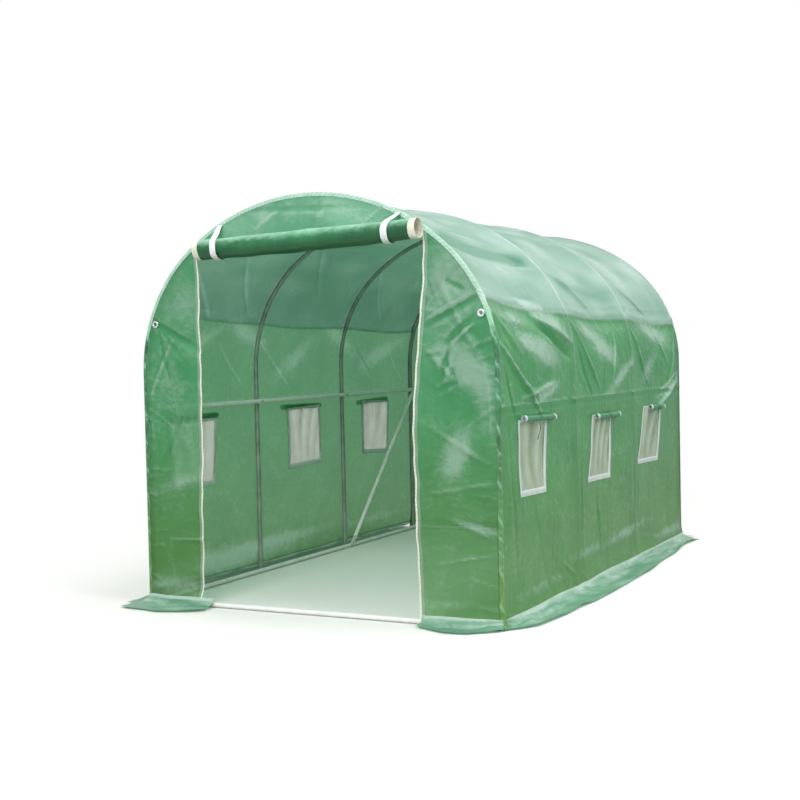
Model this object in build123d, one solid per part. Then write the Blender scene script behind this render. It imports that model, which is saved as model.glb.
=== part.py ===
from build123d import *
import math
import os

# A walk-in polytunnel: hoops of steel tube under a jacket of woven sheeting.
# Millimetres. +Z is up, the doorway faces -Y, and the origin is on the ground in the middle.

# --- the frame -------------------------------------------------------------------------------
tunnel_length = 3000        # first hoop to last hoop, tube centre to tube centre
bay_count = 3               # bays between hoops
hoop_half_span = 960        # middle of the tunnel to the centre of a leg
leg_height = 1170           # ground to where the arch starts to bend
arch_lead = 60              # straight start of the bent tube, above its joint with the leg
arch_rise = 830             # from there up to the ridge, on the tube's centre line
haunch_degrees = 38.6       # from upright, where the crown's curve meets the shoulder's
tube_diameter = 25
tube_wall = 1.2
foot_height = 190           # the short lowest tube of each leg
waist_rail_height = 990
seat_gap = 0.3              # left between pieces that rest on one another
swage_length = 60           # reduced end of a tube, which slips into the next one
swage_gap = 0.2             # slip fit of that end, on the radius
swage_step = 3              # length of the step where the tube is reduced
brace_flat_thickness = 3.5
brace_flat_width = 32
brace_flat_length = 70      # flattened end, from its tip to where the tube is round again
brace_flat_margin = 16      # from the tip to the bolt
brace_inset = 26            # from a hoop's centre to the bolt, into the bay
brace_foot_height = 26      # ground to the lower bolt

# --- the sheeting ----------------------------------------------------------------------------
sheet_thickness = 2
side_seam_rise = 280        # the sewn seam between side and roof, above the top of the legs
skirt_width = 150           # the flap that lies on the ground all round
skirt_corner = 75           # how much a skirt's free corner is cut back or runs on
door_half_width = 590       # middle of the doorway to the zip tapes
header_end_height = 32.5    # what is left of the header over the doorway's two edges
zip_tape_width = 30
window_width = 370
window_height = 340
window_sill_height = 560
window_centres = [-1085, -60, 870]   # along the tunnel, the same on both sides
flap_roll_diameter = 32
flap_roll_length = 460
flap_roll_lift = 14         # centre of the rolled flap above the window's top edge

# --- the door, rolled up -----------------------------------------------------------------------
door_roll_diameter = 95
door_roll_length = 1260
tie_width = 33
tie_thickness = 2
tie_places = [-500, 440]
eyelet_outer = 36
eyelet_hole = 18
eyelet_height = 250         # above the top of the legs
eyelet_inset = 38           # from the sheet's outer edge to the eyelet's centre

# --- worked out from these ---------------------------------------------------------------------
tube_radius = tube_diameter / 2
bore_radius = tube_radius - tube_wall
ridge_height = leg_height + arch_rise
leg_top = leg_height - arch_lead
# The arch has three curves that run smoothly into one another: two shoulders and a crown. It
# starts upright at the legs and is level at the ridge, so span, rise and haunch fix both radii.
haunch_angle = math.radians(haunch_degrees)
haunch_sin = math.sin(haunch_angle)
haunch_cos = math.cos(haunch_angle)
arch_factor = 1 - haunch_sin - haunch_cos
shoulder_radius = (
    hoop_half_span * (1 - haunch_cos) - arch_rise * haunch_sin
) / arch_factor
crown_radius = (arch_rise * (1 - haunch_sin) - hoop_half_span * haunch_cos) / arch_factor
shoulder_centre_x = hoop_half_span - shoulder_radius
crown_centre_z = ridge_height - crown_radius

hoop_places = [tunnel_length * (i / bay_count - 0.5) for i in range(bay_count + 1)]
front_hoop = hoop_places[0]
rear_hoop = hoop_places[-1]
rail_offset = hoop_half_span - tube_diameter - seat_gap

inside_offset = tube_radius + seat_gap
outside_offset = inside_offset + sheet_thickness
sheet_outside = hoop_half_span + outside_offset
side_seam_height = leg_height + side_seam_rise
end_inside = tunnel_length / 2 + inside_offset
end_outside = end_inside + sheet_thickness
rail_end = end_inside - seat_gap
panel_edge = door_half_width + zip_tape_width
crown_outside = crown_radius + outside_offset
shoulder_outside = shoulder_radius + outside_offset
# The header's lower edge follows from the height of the sheeting over the doorway's edges.
if panel_edge < crown_outside * haunch_sin:
    sheet_top = crown_centre_z + math.sqrt(crown_outside**2 - panel_edge**2)
else:
    sheet_top = leg_height + math.sqrt(
        shoulder_outside**2 - (panel_edge - shoulder_centre_x) ** 2
    )
door_height = sheet_top - header_end_height
far = 3 * (tunnel_length + ridge_height + hoop_half_span)   # larger than the whole tunnel


# --- helpers -----------------------------------------------------------------------------------
def block(x_range, y_range, z_range):
    """A box given by its two corners, axis by axis."""
    size = [high - low for low, high in (x_range, y_range, z_range)]
    middle = [(high + low) / 2 for low, high in (x_range, y_range, z_range)]
    return Pos(*middle) * Box(*size)


def arch_points(offset, side):
    """Start of the bend, middle of the shoulder, haunch, a point above it, and the crown."""
    small = shoulder_radius + offset
    large = crown_radius + offset
    half = (math.pi / 2 - haunch_angle) / 2
    shoulder_x = side * (shoulder_centre_x + small * math.cos(half))
    shoulder_z = leg_height + small * math.sin(half)
    haunch_x = side * large * haunch_sin
    haunch_z = crown_centre_z + large * haunch_cos
    above_x = side * large * math.sin(haunch_angle / 2)
    above_z = crown_centre_z + large * math.cos(haunch_angle / 2)
    return (
        (side * (hoop_half_span + offset), 0, leg_height),
        (shoulder_x, 0, shoulder_z),
        (haunch_x, 0, haunch_z),
        (above_x, 0, above_z),
        (0, 0, ridge_height + offset),
    )


def tunnel_outline(offset):
    """The tunnel's end shape as a face in the XZ plane, ground included."""
    bend, shoulder, haunch, _, crown = arch_points(offset, 1)
    left_bend, left_shoulder, left_haunch, _, _ = arch_points(offset, -1)
    half_width = hoop_half_span + offset
    edges = [
        Line((-half_width, 0, 0), (half_width, 0, 0)),
        Line((half_width, 0, 0), bend),
        ThreePointArc(bend, shoulder, haunch),
        ThreePointArc(haunch, crown, left_haunch),
        ThreePointArc(left_haunch, left_shoulder, left_bend),
        Line(left_bend, (-half_width, 0, 0)),
    ]
    return Face(Wire(edges))


def along_tunnel(face, start, end):
    """A solid of a face in the XZ plane, run along the tunnel."""
    return Pos(0, start, 0) * extrude(face, amount=end - start, dir=(0, 1, 0))


def ring(outer_radius, inner_radius, length):
    """A length of pipe standing on the XY plane."""
    pipe = Cylinder(outer_radius, length) - Cylinder(inner_radius, length)
    return Pos(0, 0, length / 2) * pipe


def tube_between(start, end):
    """A straight length of the frame's tube."""
    run = Vector(*end) - Vector(*start)
    return Plane(origin=start, z_dir=run) * ring(tube_radius, bore_radius, run.length)


def swaged_end():
    """The reduced end of a tube, pointing down from the XY plane."""
    slip_radius = bore_radius - swage_gap
    slip = Pos(0, 0, -swage_length) * ring(slip_radius, slip_radius - tube_wall, swage_length)
    step = ring(tube_radius, slip_radius - tube_wall, swage_step)
    return slip + step


def standing_tube(x, y, low, high):
    """An upright tube whose reduced lower end slips into the tube below it."""
    return tube_between((x, y, low), (x, y, high)) + Pos(x, y, low) * swaged_end()


def save(name, solids):
    """Write one named piece, or several like pieces that don't touch, to its own file."""
    shapes = solids if isinstance(solids, list) else [solids]
    shape = shapes[0] if len(shapes) == 1 else Compound(shapes)
    export_step(shape, f"parts/{name}.step")
    print(name, round(shape.volume))


os.makedirs("parts", exist_ok=True)
SIDES = ((-1, "left"), (1, "right"))


# --- hoops -------------------------------------------------------------------------------------
def arch_half(y, side):
    """Bent tube from the leg to the ridge, with a reduced end that slips into the leg."""
    bend, shoulder, haunch, above_haunch, crown = arch_points(0, 1)
    joint = (hoop_half_span, 0, leg_top)
    path = Wire(
        [
            Line(joint, bend),
            ThreePointArc(bend, shoulder, haunch),
            ThreePointArc(haunch, above_haunch, crown),
        ]
    )
    section = Plane(origin=joint) * (Circle(tube_radius) - Circle(bore_radius))
    tube = sweep(section, path=path) + Pos(*joint) * swaged_end()
    return Pos(0, y, 0) * (tube if side > 0 else mirror(tube, about=Plane.YZ))


feet = []
for number, y in enumerate(hoop_places, start=1):
    legs = []
    for side, side_name in SIDES:
        save(f"hoop_{number}_{side_name}_arch", arch_half(y, side))
        x = side * hoop_half_span
        legs.append(standing_tube(x, y, foot_height, leg_top))
        feet.append(tube_between((x, y, 0), (x, y, foot_height)))
    save(f"hoop_{number}_legs", legs)
save("hoop_feet", feet)

# --- rails along the tunnel, on the inner side of the hoops -------------------------------------
for side, side_name in SIDES:
    x = side * rail_offset
    for rail_name, z in (("ground", tube_radius), ("waist", waist_rail_height)):
        save(f"{rail_name}_rail_{side_name}", tube_between((x, -rail_end, z), (x, rail_end, z)))
ridge_rail_z = ridge_height - tube_diameter - seat_gap
save("ridge_rail", tube_between((0, -rail_end, ridge_rail_z), (0, rail_end, ridge_rail_z)))

# --- bars on the ground across both ends, from rail to rail -------------------------------------
bar_end = rail_offset - tube_radius - seat_gap
for bar_name, y in (("front", front_hoop), ("rear", rear_hoop)):
    save(
        f"{bar_name}_ground_bar",
        tube_between((-bar_end, y, tube_radius), (bar_end, y, tube_radius)),
    )


# --- diagonal braces, bolted flat against the inner side of the rails ---------------------------
def brace(side, top_y, foot_y):
    """A tube with both ends pressed flat, from the waist rail down to the ground rail."""
    x = side * (rail_offset - tube_radius - seat_gap - brace_flat_thickness / 2)
    top = Vector(x, top_y, waist_rail_height)
    foot = Vector(x, foot_y, brace_foot_height)
    run = top - foot
    along = run.normalized()
    overlap = tube_wall * 4
    round_reach = brace_flat_length - brace_flat_margin
    tube = tube_between(tuple(foot + along * round_reach), tuple(top - along * round_reach))
    for point, way in ((foot, along), (top, along * -1)):
        flat = Box(brace_flat_thickness, brace_flat_width, brace_flat_length + overlap)
        middle = point + way * ((brace_flat_length + overlap) / 2 - brace_flat_margin)
        tube = tube + Plane(origin=middle, x_dir=(1, 0, 0), z_dir=way) * flat
    return tube


save(
    "left_rear_brace",
    brace(-1, hoop_places[-1] - brace_inset, hoop_places[-2] + brace_inset),
)
save(
    "right_front_brace",
    brace(1, hoop_places[0] + brace_inset, hoop_places[1] - brace_inset),
)

# --- the jacket's long sheets: two sides with window openings, and the roof ---------------------
outer_shape = tunnel_outline(outside_offset)
jacket = along_tunnel(outer_shape - tunnel_outline(inside_offset), -end_inside, end_inside)
save("roof_sheet", jacket & block((-far, far), (-far, far), (side_seam_height, far)))
for side, side_name in SIDES:
    half = (0, far) if side > 0 else (-far, 0)
    sheet = jacket & block(half, (-far, far), (-far, side_seam_height))
    screens = []
    flaps = []
    for y in window_centres:
        x_span = sorted((side * (sheet_outside - sheet_thickness), side * sheet_outside))
        y_span = (y - window_width / 2, y + window_width / 2)
        z_span = (window_sill_height, window_sill_height + window_height)
        screen = block(x_span, y_span, z_span)
        sheet = sheet - screen
        screens.append(screen)
        roll_radius = flap_roll_diameter / 2
        roll_x = side * (sheet_outside + seat_gap + roll_radius)
        roll_z = window_sill_height + window_height + flap_roll_lift
        roll = Rot(90, 0, 0) * Cylinder(roll_radius, flap_roll_length)
        flaps.append(Pos(roll_x, y, roll_z) * roll)
    save(f"{side_name}_side_sheet", sheet)
    save(f"{side_name}_window_screens", screens)
    save(f"{side_name}_window_flaps", flaps)

# --- end sheets: closed behind, with a doorway in front -----------------------------------------
save("rear_end_sheet", along_tunnel(outer_shape, end_inside, end_outside))
front_sheet = along_tunnel(outer_shape, -end_outside, -end_inside)
door_span = (-panel_edge, panel_edge)
save("front_header", front_sheet & block(door_span, (-far, far), (door_height, far)))
eyelet_z = leg_height + eyelet_height
eyelet_edge = shoulder_centre_x + math.sqrt(shoulder_outside**2 - eyelet_height**2)
eyelet_x = eyelet_edge - eyelet_inset
eyelets = []
for side, side_name in SIDES:
    beside = (panel_edge, far) if side > 0 else (-far, -panel_edge)
    hole = Pos(side * eyelet_x, -end_outside, eyelet_z) * Rot(90, 0, 0)
    panel = front_sheet & block(beside, (-far, far), (-far, far))
    save(f"front_{side_name}_panel", panel - hole * Cylinder(eyelet_hole / 2, tube_diameter))
    washer = ring(eyelet_outer / 2, eyelet_hole / 2, sheet_thickness)
    eyelets.append(hole * washer)
    tape_span = sorted((side * door_half_width, side * panel_edge))
    save(
        f"{side_name}_door_zip",
        front_sheet & block(tape_span, (-far, far), (-far, door_height)),
    )
save("front_eyelets", eyelets)


# --- the flap on the ground all round -----------------------------------------------------------
def ground_flap(outline):
    """A flat flap on the ground, of the outline's corners."""
    return extrude(make_face(Polyline(*outline, close=True)), amount=sheet_thickness)


for side, side_name in SIDES:
    near = side * sheet_outside
    wide = side * (sheet_outside + skirt_width)
    corner = end_outside - skirt_corner
    save(
        f"{side_name}_skirt",
        ground_flap(
            [(near, -end_outside), (wide, -corner), (wide, corner), (near, end_outside)]
        ),
    )
    run_on = side * (sheet_outside + skirt_corner)
    front_edge = -end_outside - skirt_width
    save(
        f"front_{side_name}_skirt",
        ground_flap(
            [
                (side * panel_edge, -end_outside),
                (near, -end_outside),
                (run_on, front_edge),
                (side * panel_edge, front_edge),
            ]
        ),
    )
rear_edge = end_outside + skirt_width
rear_run = sheet_outside + skirt_corner
save(
    "rear_skirt",
    ground_flap(
        [
            (-sheet_outside, end_outside),
            (-rear_run, rear_edge),
            (rear_run, rear_edge),
            (sheet_outside, end_outside),
        ]
    ),
)

# --- the door, rolled up under the header, and its two ties -------------------------------------
door_roll_radius = door_roll_diameter / 2
roll_y = -end_outside - 2 * seat_gap - tie_thickness - door_roll_radius
across = Pos(0, roll_y, door_height) * Rot(0, 90, 0)
save("door_roll", across * Cylinder(door_roll_radius, door_roll_length))
ties = []
for x in tie_places:
    loop_inside = door_roll_radius + seat_gap
    loop_outside = loop_inside + tie_thickness
    loop = Cylinder(loop_outside, tie_width) - Cylinder(loop_inside, tie_width)
    strap_x = (x - tie_width / 2, x + tie_width / 2)
    strap_y = (-end_outside - seat_gap - tie_thickness, -end_outside - seat_gap)
    strap = along_tunnel(outer_shape, *strap_y)
    strap = strap & block(strap_x, (-far, far), (door_height, far))
    ties.append(Pos(x, 0, 0) * (across * loop) + strap)
save("door_ties", ties)
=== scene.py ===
# %% [markdown]
# # A walk-in polytunnel greenhouse
# Four hoops of steel tube stand in a row under a jacket of green woven sheeting. The steel frame
# comes from the CAD model and keeps its shape. Everything soft is made here: the jacket with its
# seams, folds and windows, the rolled-up door, and the flaps that lie on the ground.

# %% Load the frame
import math

import bpy
import numpy as np
from mathutils import Matrix, Vector


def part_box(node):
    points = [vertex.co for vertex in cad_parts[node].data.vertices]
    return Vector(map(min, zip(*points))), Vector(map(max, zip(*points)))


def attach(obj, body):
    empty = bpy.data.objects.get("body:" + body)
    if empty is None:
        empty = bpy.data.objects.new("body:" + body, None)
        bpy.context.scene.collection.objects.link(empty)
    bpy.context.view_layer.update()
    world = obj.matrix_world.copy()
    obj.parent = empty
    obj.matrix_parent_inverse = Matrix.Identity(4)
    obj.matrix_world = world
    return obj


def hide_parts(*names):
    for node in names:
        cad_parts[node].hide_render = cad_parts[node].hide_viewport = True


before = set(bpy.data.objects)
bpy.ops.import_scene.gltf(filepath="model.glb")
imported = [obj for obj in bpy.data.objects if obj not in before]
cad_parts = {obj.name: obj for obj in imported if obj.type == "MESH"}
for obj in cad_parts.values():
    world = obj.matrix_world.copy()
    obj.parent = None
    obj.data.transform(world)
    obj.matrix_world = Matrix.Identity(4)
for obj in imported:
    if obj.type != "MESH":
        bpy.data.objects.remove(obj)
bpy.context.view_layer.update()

# %% [markdown]
# Sizes come from the CAD nodes wherever a node has them, so a changed frame carries the looks
# along. Only what no box can tell is written here, such as the height where the walls start to
# curve and the angle at which the arch's two curves meet.

# %% The tunnel's sizes
wall_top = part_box("right_side_sheet")[1]
rail_low, rail_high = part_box("waist_rail_right")
HALF_WIDTH = wall_top.x
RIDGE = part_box("roof_sheet")[1].z
SEAM = wall_top.z
END = -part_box("front_right_panel")[0].y
DOOR_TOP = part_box("front_header")[0].z
HOOPS = [sum(corner.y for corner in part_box(f"hoop_{n}_legs")) / 2 for n in (1, 2, 3, 4)]
BAY = HOOPS[1] - HOOPS[0]
WAIST = (rail_low.z + rail_high.z) / 2
TUBE_RADIUS = (rail_high.z - rail_low.z) / 2
BEND = 1.17
HAUNCH = math.radians(38.6)
TUBE_INSET = HALF_WIDTH - 0.96    # from the jacket's outline to the middle of a hoop's tube
SIDES = ((1, "right"), (-1, "left"))
INSIDE = (0, 0, 0.9)             # a point in the tunnel, from which the jacket faces away
print("half width", round(HALF_WIDTH, 4), "ridge", round(RIDGE, 4), "hoops at", HOOPS)

# %% The arch's two curves
RISE = RIDGE - BEND
FACTOR = 1 - math.sin(HAUNCH) - math.cos(HAUNCH)
SHOULDER_R = (HALF_WIDTH * (1 - math.cos(HAUNCH)) - RISE * math.sin(HAUNCH)) / FACTOR
CROWN_R = (RISE * (1 - math.sin(HAUNCH)) - HALF_WIDTH * math.cos(HAUNCH)) / FACTOR
SHOULDER_ARC = SHOULDER_R * (math.pi / 2 - HAUNCH)
HALF_GIRTH = BEND + SHOULDER_ARC + CROWN_R * HAUNCH
SEAM_GIRTH = BEND + SHOULDER_R * math.asin((SEAM - BEND) / SHOULDER_R)
print("ground to ridge over the outside", round(HALF_GIRTH, 3), "m")


def arch(girth):
    """x and z of the jacket's right half at a girth above the ground, and its outward direction."""
    turn = np.where(girth <= BEND, 0.0, (girth - BEND) / SHOULDER_R)
    over = girth > BEND + SHOULDER_ARC
    crown = (SHOULDER_ARC / SHOULDER_R) + (girth - BEND - SHOULDER_ARC) / CROWN_R
    turn = np.where(over, crown, turn)
    radius = np.where(over, CROWN_R, SHOULDER_R)
    x = np.where(over, 0.0, HALF_WIDTH - SHOULDER_R) + radius * np.cos(turn)
    z = np.where(over, RIDGE - CROWN_R, BEND) + radius * np.sin(turn)
    return x, np.where(girth <= BEND, girth, z), np.cos(turn), np.sin(turn)


def arch_height(x):
    """How high the jacket's outline is at x from the middle."""
    x = np.abs(x)
    crown = RIDGE - CROWN_R + np.sqrt(np.maximum(CROWN_R**2 - x**2, 0))
    off = np.clip(x - (HALF_WIDTH - SHOULDER_R), 0, SHOULDER_R)
    shoulder = BEND + np.sqrt(SHOULDER_R**2 - off**2)
    return np.where(x < CROWN_R * math.sin(HAUNCH), crown, shoulder)


def arch_half_width(z):
    """How far the jacket's outline is from the middle at a height."""
    crown = np.sqrt(np.maximum(CROWN_R**2 - (z - RIDGE + CROWN_R)**2, 0))
    rise = np.clip(z - BEND, 0, SHOULDER_R)
    shoulder = HALF_WIDTH - SHOULDER_R + np.sqrt(SHOULDER_R**2 - rise**2)
    return np.where(z > RIDGE - CROWN_R + CROWN_R * math.cos(HAUNCH), crown, shoulder)


# %% [markdown]
# A few helpers keep the later cells short. One turns a colour as a screen shows it into the linear
# numbers a shader wants. One adds a shader node with its settings and links. The rest start and
# finish a mesh with Blender's own operators.

# %% Helpers for colours and nodes
# settings that many nodes share
RGBA = {"data_type": "RGBA"}
SMOOTH = {"interpolation_type": "SMOOTHSTEP"}
MAXIMUM, MULTIPLY, MULTIPLY_ADD = ({"operation": name}
                                   for name in ("MAXIMUM", "MULTIPLY", "MULTIPLY_ADD"))


def colour(hex_code):
    """An sRGB hex colour as linear red, green, blue and alpha."""
    values = [int(hex_code[i:i + 2], 16) / 255 for i in (1, 3, 5)]
    return (*[v / 12.92 if v <= 0.04045 else ((v + 0.055) / 1.055) ** 2.4 for v in values], 1.0)


def add(tree, kind, settings=None, **inputs):
    """A node of a kind, with its settings, and each input set to a value or linked.

    An input goes by its number, as i0, or by its name with _ for a space."""
    node = tree.nodes.new("ShaderNode" + kind)
    for key, value in (settings or {}).items():
        setattr(node, key, value)
    for key, value in inputs.items():
        socket = node.inputs[int(key[1:])] if key[1:].isdigit() else node.inputs[key.replace("_", " ")]
        value = value.outputs[0] if isinstance(value, bpy.types.Node) else value
        if isinstance(value, bpy.types.NodeSocket):
            tree.links.new(value, socket)
        else:
            socket.default_value = value
    return node


def start_material(name):
    """An empty node material and its tree."""
    material = bpy.data.materials.new(name)
    material.use_nodes = True
    material.node_tree.nodes.clear()
    return material, material.node_tree


# %% Helpers for meshes
def only(obj):
    """This object alone is selected and active."""
    bpy.ops.object.select_all(action="DESELECT")
    obj.select_set(True)
    bpy.context.view_layer.objects.active = obj


def finish(obj, name, material, slot, *nodes, angle=60):
    """Name a piece, give it its finish, and let it ride with the tunnel."""
    only(obj)
    bpy.ops.object.transform_apply(location=True, rotation=True, scale=True)
    bpy.ops.object.shade_smooth_by_angle(angle=math.radians(angle))
    obj.name = obj.data.name = name
    obj.data.materials.clear()
    obj.data.materials.append(material)
    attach(obj, "root")
    if nodes:
        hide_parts(*nodes)
    print(name, len(obj.data.polygons), "faces")
    return obj


def steps(pitch, *stops):
    """Places about pitch apart that hit every stop."""
    runs = [np.linspace(a, b, max(1, round((b - a) / pitch)) + 1)[:-1]
            for a, b in zip(stops, stops[1:])]
    return np.append(np.concatenate(runs), stops[-1])


def cloth(across, up, place, gone=None, outward=None, flat_place=None, haze=None):
    """A sheet on a grid of lines of its flat cut, with each crossing put where place says.

    Its UV map is the flat cut in metres, which flat_place gives where the lines aren't in metres.
    gone(across, up) picks the faces that are cut away, and outward is a point behind the sheet,
    from which its faces look away. haze(across, up) is how far the cloth is made paler at
    a place, partly whitened and partly painted highlight, or below 0 how far it is darkened as painted
    shade, and is kept as an attribute that the finishes read."""
    bpy.ops.object.select_all(action="DESELECT")
    columns, rows = len(across) - 1, len(up) - 1
    bpy.ops.mesh.primitive_grid_add(x_subdivisions=columns, y_subdivisions=rows, size=1)
    sheet = bpy.context.object
    flat = np.empty(len(sheet.data.vertices) * 3)
    sheet.data.vertices.foreach_get("co", flat)
    flat = flat.reshape(-1, 3)
    a = across[np.rint((flat[:, 0] + 0.5) * columns).astype(int)]
    b = up[np.rint((flat[:, 1] + 0.5) * rows).astype(int)]
    corner = np.empty(len(sheet.data.loops), dtype=np.int64)
    sheet.data.loops.foreach_get("vertex_index", corner)
    cut = flat_place(a, b) if flat_place else (a, b)
    uv = np.stack([cut[0][corner], cut[1][corner]], axis=1)
    sheet.data.uv_layers[0].data.foreach_set("uv", uv.ravel())
    points = np.stack(np.broadcast_arrays(*place(a, b)), axis=1)
    sheet.data.vertices.foreach_set("co", points.ravel())
    if haze is not None:
        kept = sheet.data.attributes.new("haze", "FLOAT", "POINT")
        kept.data.foreach_set("value", np.asarray(haze(a, b), dtype=np.float32))
    middle = uv.reshape(-1, 4, 2).mean(axis=1)
    picked = gone(middle[:, 0], middle[:, 1]) if gone else np.zeros(len(middle), dtype=bool)
    sheet.data.polygons.foreach_set("select", picked)
    sheet.data.update()
    if outward is not None:
        way = sum((p.center - Vector(outward)).dot(p.normal) * p.area for p in sheet.data.polygons)
        if way < 0:
            sheet.data.flip_normals()
    if picked.any():
        only(sheet)
        bpy.ops.object.mode_set(mode="EDIT")
        bpy.ops.mesh.select_mode(type="FACE")
        bpy.ops.object.mode_set(mode="OBJECT")
        sheet.data.polygons.foreach_set("select", picked)
        bpy.ops.object.mode_set(mode="EDIT")
        bpy.ops.mesh.delete(type="FACE")
        bpy.ops.object.mode_set(mode="OBJECT")
    return sheet


# %% [markdown]
# The camera stands low, in front of the doorway and to its right. It comes first, so that every
# later piece can be looked at as soon as it is made. It is placed by three directions: right, up
# and back, which are the columns of its matrix.

# %% Camera
YAW, PITCH, ROLL = math.radians(26.89), math.radians(-2.02), math.radians(-1.25)
CAMERA_AT, LENS = (3.21, -6.893, 1.246), 59.15
ahead = Vector((-math.sin(YAW) * math.cos(PITCH), math.cos(YAW) * math.cos(PITCH), math.sin(PITCH)))
level = Vector((math.cos(YAW), math.sin(YAW), 0))
rightward = math.cos(ROLL) * level + math.sin(ROLL) * level.cross(ahead)
upward = math.cos(ROLL) * level.cross(ahead) - math.sin(ROLL) * level
bpy.ops.object.select_all(action="DESELECT")
bpy.ops.object.camera_add()
camera = bpy.context.object
camera.name = "camera"
camera.data.sensor_width = 36
camera.data.lens = LENS
turned = Matrix((rightward, upward, -ahead)).transposed().to_4x4()
camera.matrix_world = Matrix.Translation(CAMERA_AT) @ turned
bpy.context.scene.camera = camera
bpy.context.scene.view_settings.view_transform = "Standard"
print("camera looks along", [round(c, 3) for c in ahead])

# %% [markdown]
# The floor is matt pale paint near the tunnel, where it keeps the shadow, and fades to plain white
# further out. Floor and world are each two in one: the camera, gloss and glass see the pale side,
# and scattered light meets a darker one, so the undersides of rolls and folds stay deep as they do
# over grass. Large square lamps stand in for an overcast sky, so shadows are soft.

# %% Floor
def seen_rays(tree):
    """1 for what the camera, gloss and glass see, and 0 for scattered light."""
    path = add(tree, "LightPath")
    clear = add(tree, "Math", {"operation": "SUBTRACT", "use_clamp": True},
                i0=path.outputs["Is Transmission Ray"], i1=path.outputs["Is Diffuse Ray"])
    seen = add(tree, "Math", MAXIMUM,
               i0=path.outputs["Is Camera Ray"], i1=path.outputs["Is Glossy Ray"])
    return add(tree, "Math", MAXIMUM, i0=seen, i1=clear)


pale_floor, tree = start_material("pale_matt_studio_paint")
paint = add(tree, "BsdfPrincipled", Base_Color=colour("#F3F3F1"), Roughness=0.9)
felt = add(tree, "BsdfPrincipled", Base_Color=colour("#A3A79A"), Roughness=0.9)
far = add(tree, "VectorMath", {"operation": "LENGTH"}, i0=add(tree, "TexCoord").outputs["Object"])
far = add(tree, "MapRange", SMOOTH, i0=far.outputs["Value"],
          i1=2.0, i2=5.2, i3=0.0, i4=1.0)
white = add(tree, "Emission", Color=(1, 1, 1, 1), Strength=1.0)
shown = add(tree, "MixShader", i0=far, i1=paint, i2=white)
add(tree, "OutputMaterial", Surface=add(tree, "MixShader", i0=seen_rays(tree), i1=felt, i2=shown))
bpy.ops.object.select_all(action="DESELECT")
bpy.ops.mesh.primitive_plane_add(size=70, location=(0, 0, -0.001))
floor = bpy.context.object
floor.name = "studio_floor"
floor.data.materials.append(pale_floor)

# %% World
world = bpy.data.worlds.new("white_studio")
bpy.context.scene.world = world
world.use_nodes = True
tree = world.node_tree
tree.nodes.clear()
light = add(tree, "Background", Color=(1, 1, 1, 1), Strength=0.58)
white = add(tree, "Background", Color=(1, 1, 1, 1), Strength=1.0)
add(tree, "OutputWorld", Surface=add(tree, "MixShader", i0=seen_rays(tree), i1=light, i2=white))


# %% Lamps
def soft_lamp(name, place, size, power):
    """A large square lamp that looks at the middle of the tunnel."""
    bpy.ops.object.select_all(action="DESELECT")
    bpy.ops.object.light_add(type="AREA", location=place)
    lamp = bpy.context.object
    lamp.name = name
    lamp.data.shape = "SQUARE"
    lamp.data.size = size
    lamp.data.energy = power
    lamp.visible_camera = False
    lamp.rotation_euler = (Vector((0, 0, 0.9)) - Vector(place)).to_track_quat("-Z", "Y").to_euler()


soft_lamp("sky_lamp", (2.2, 0.5, 6.0), 4.0, 175)
soft_lamp("left_lamp", (-7.0, 0.5, 5.5), 3.0, 115)
soft_lamp("high_back_lamp", (2.5, 8.5, 6.0), 6.0, 120)
soft_lamp("front_lamp", (1.2, -7.5, 4.7), 3.5, 400)
soft_lamp("side_lamp", (7.0, -2.5, 6.0), 3.0, 220)
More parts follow.
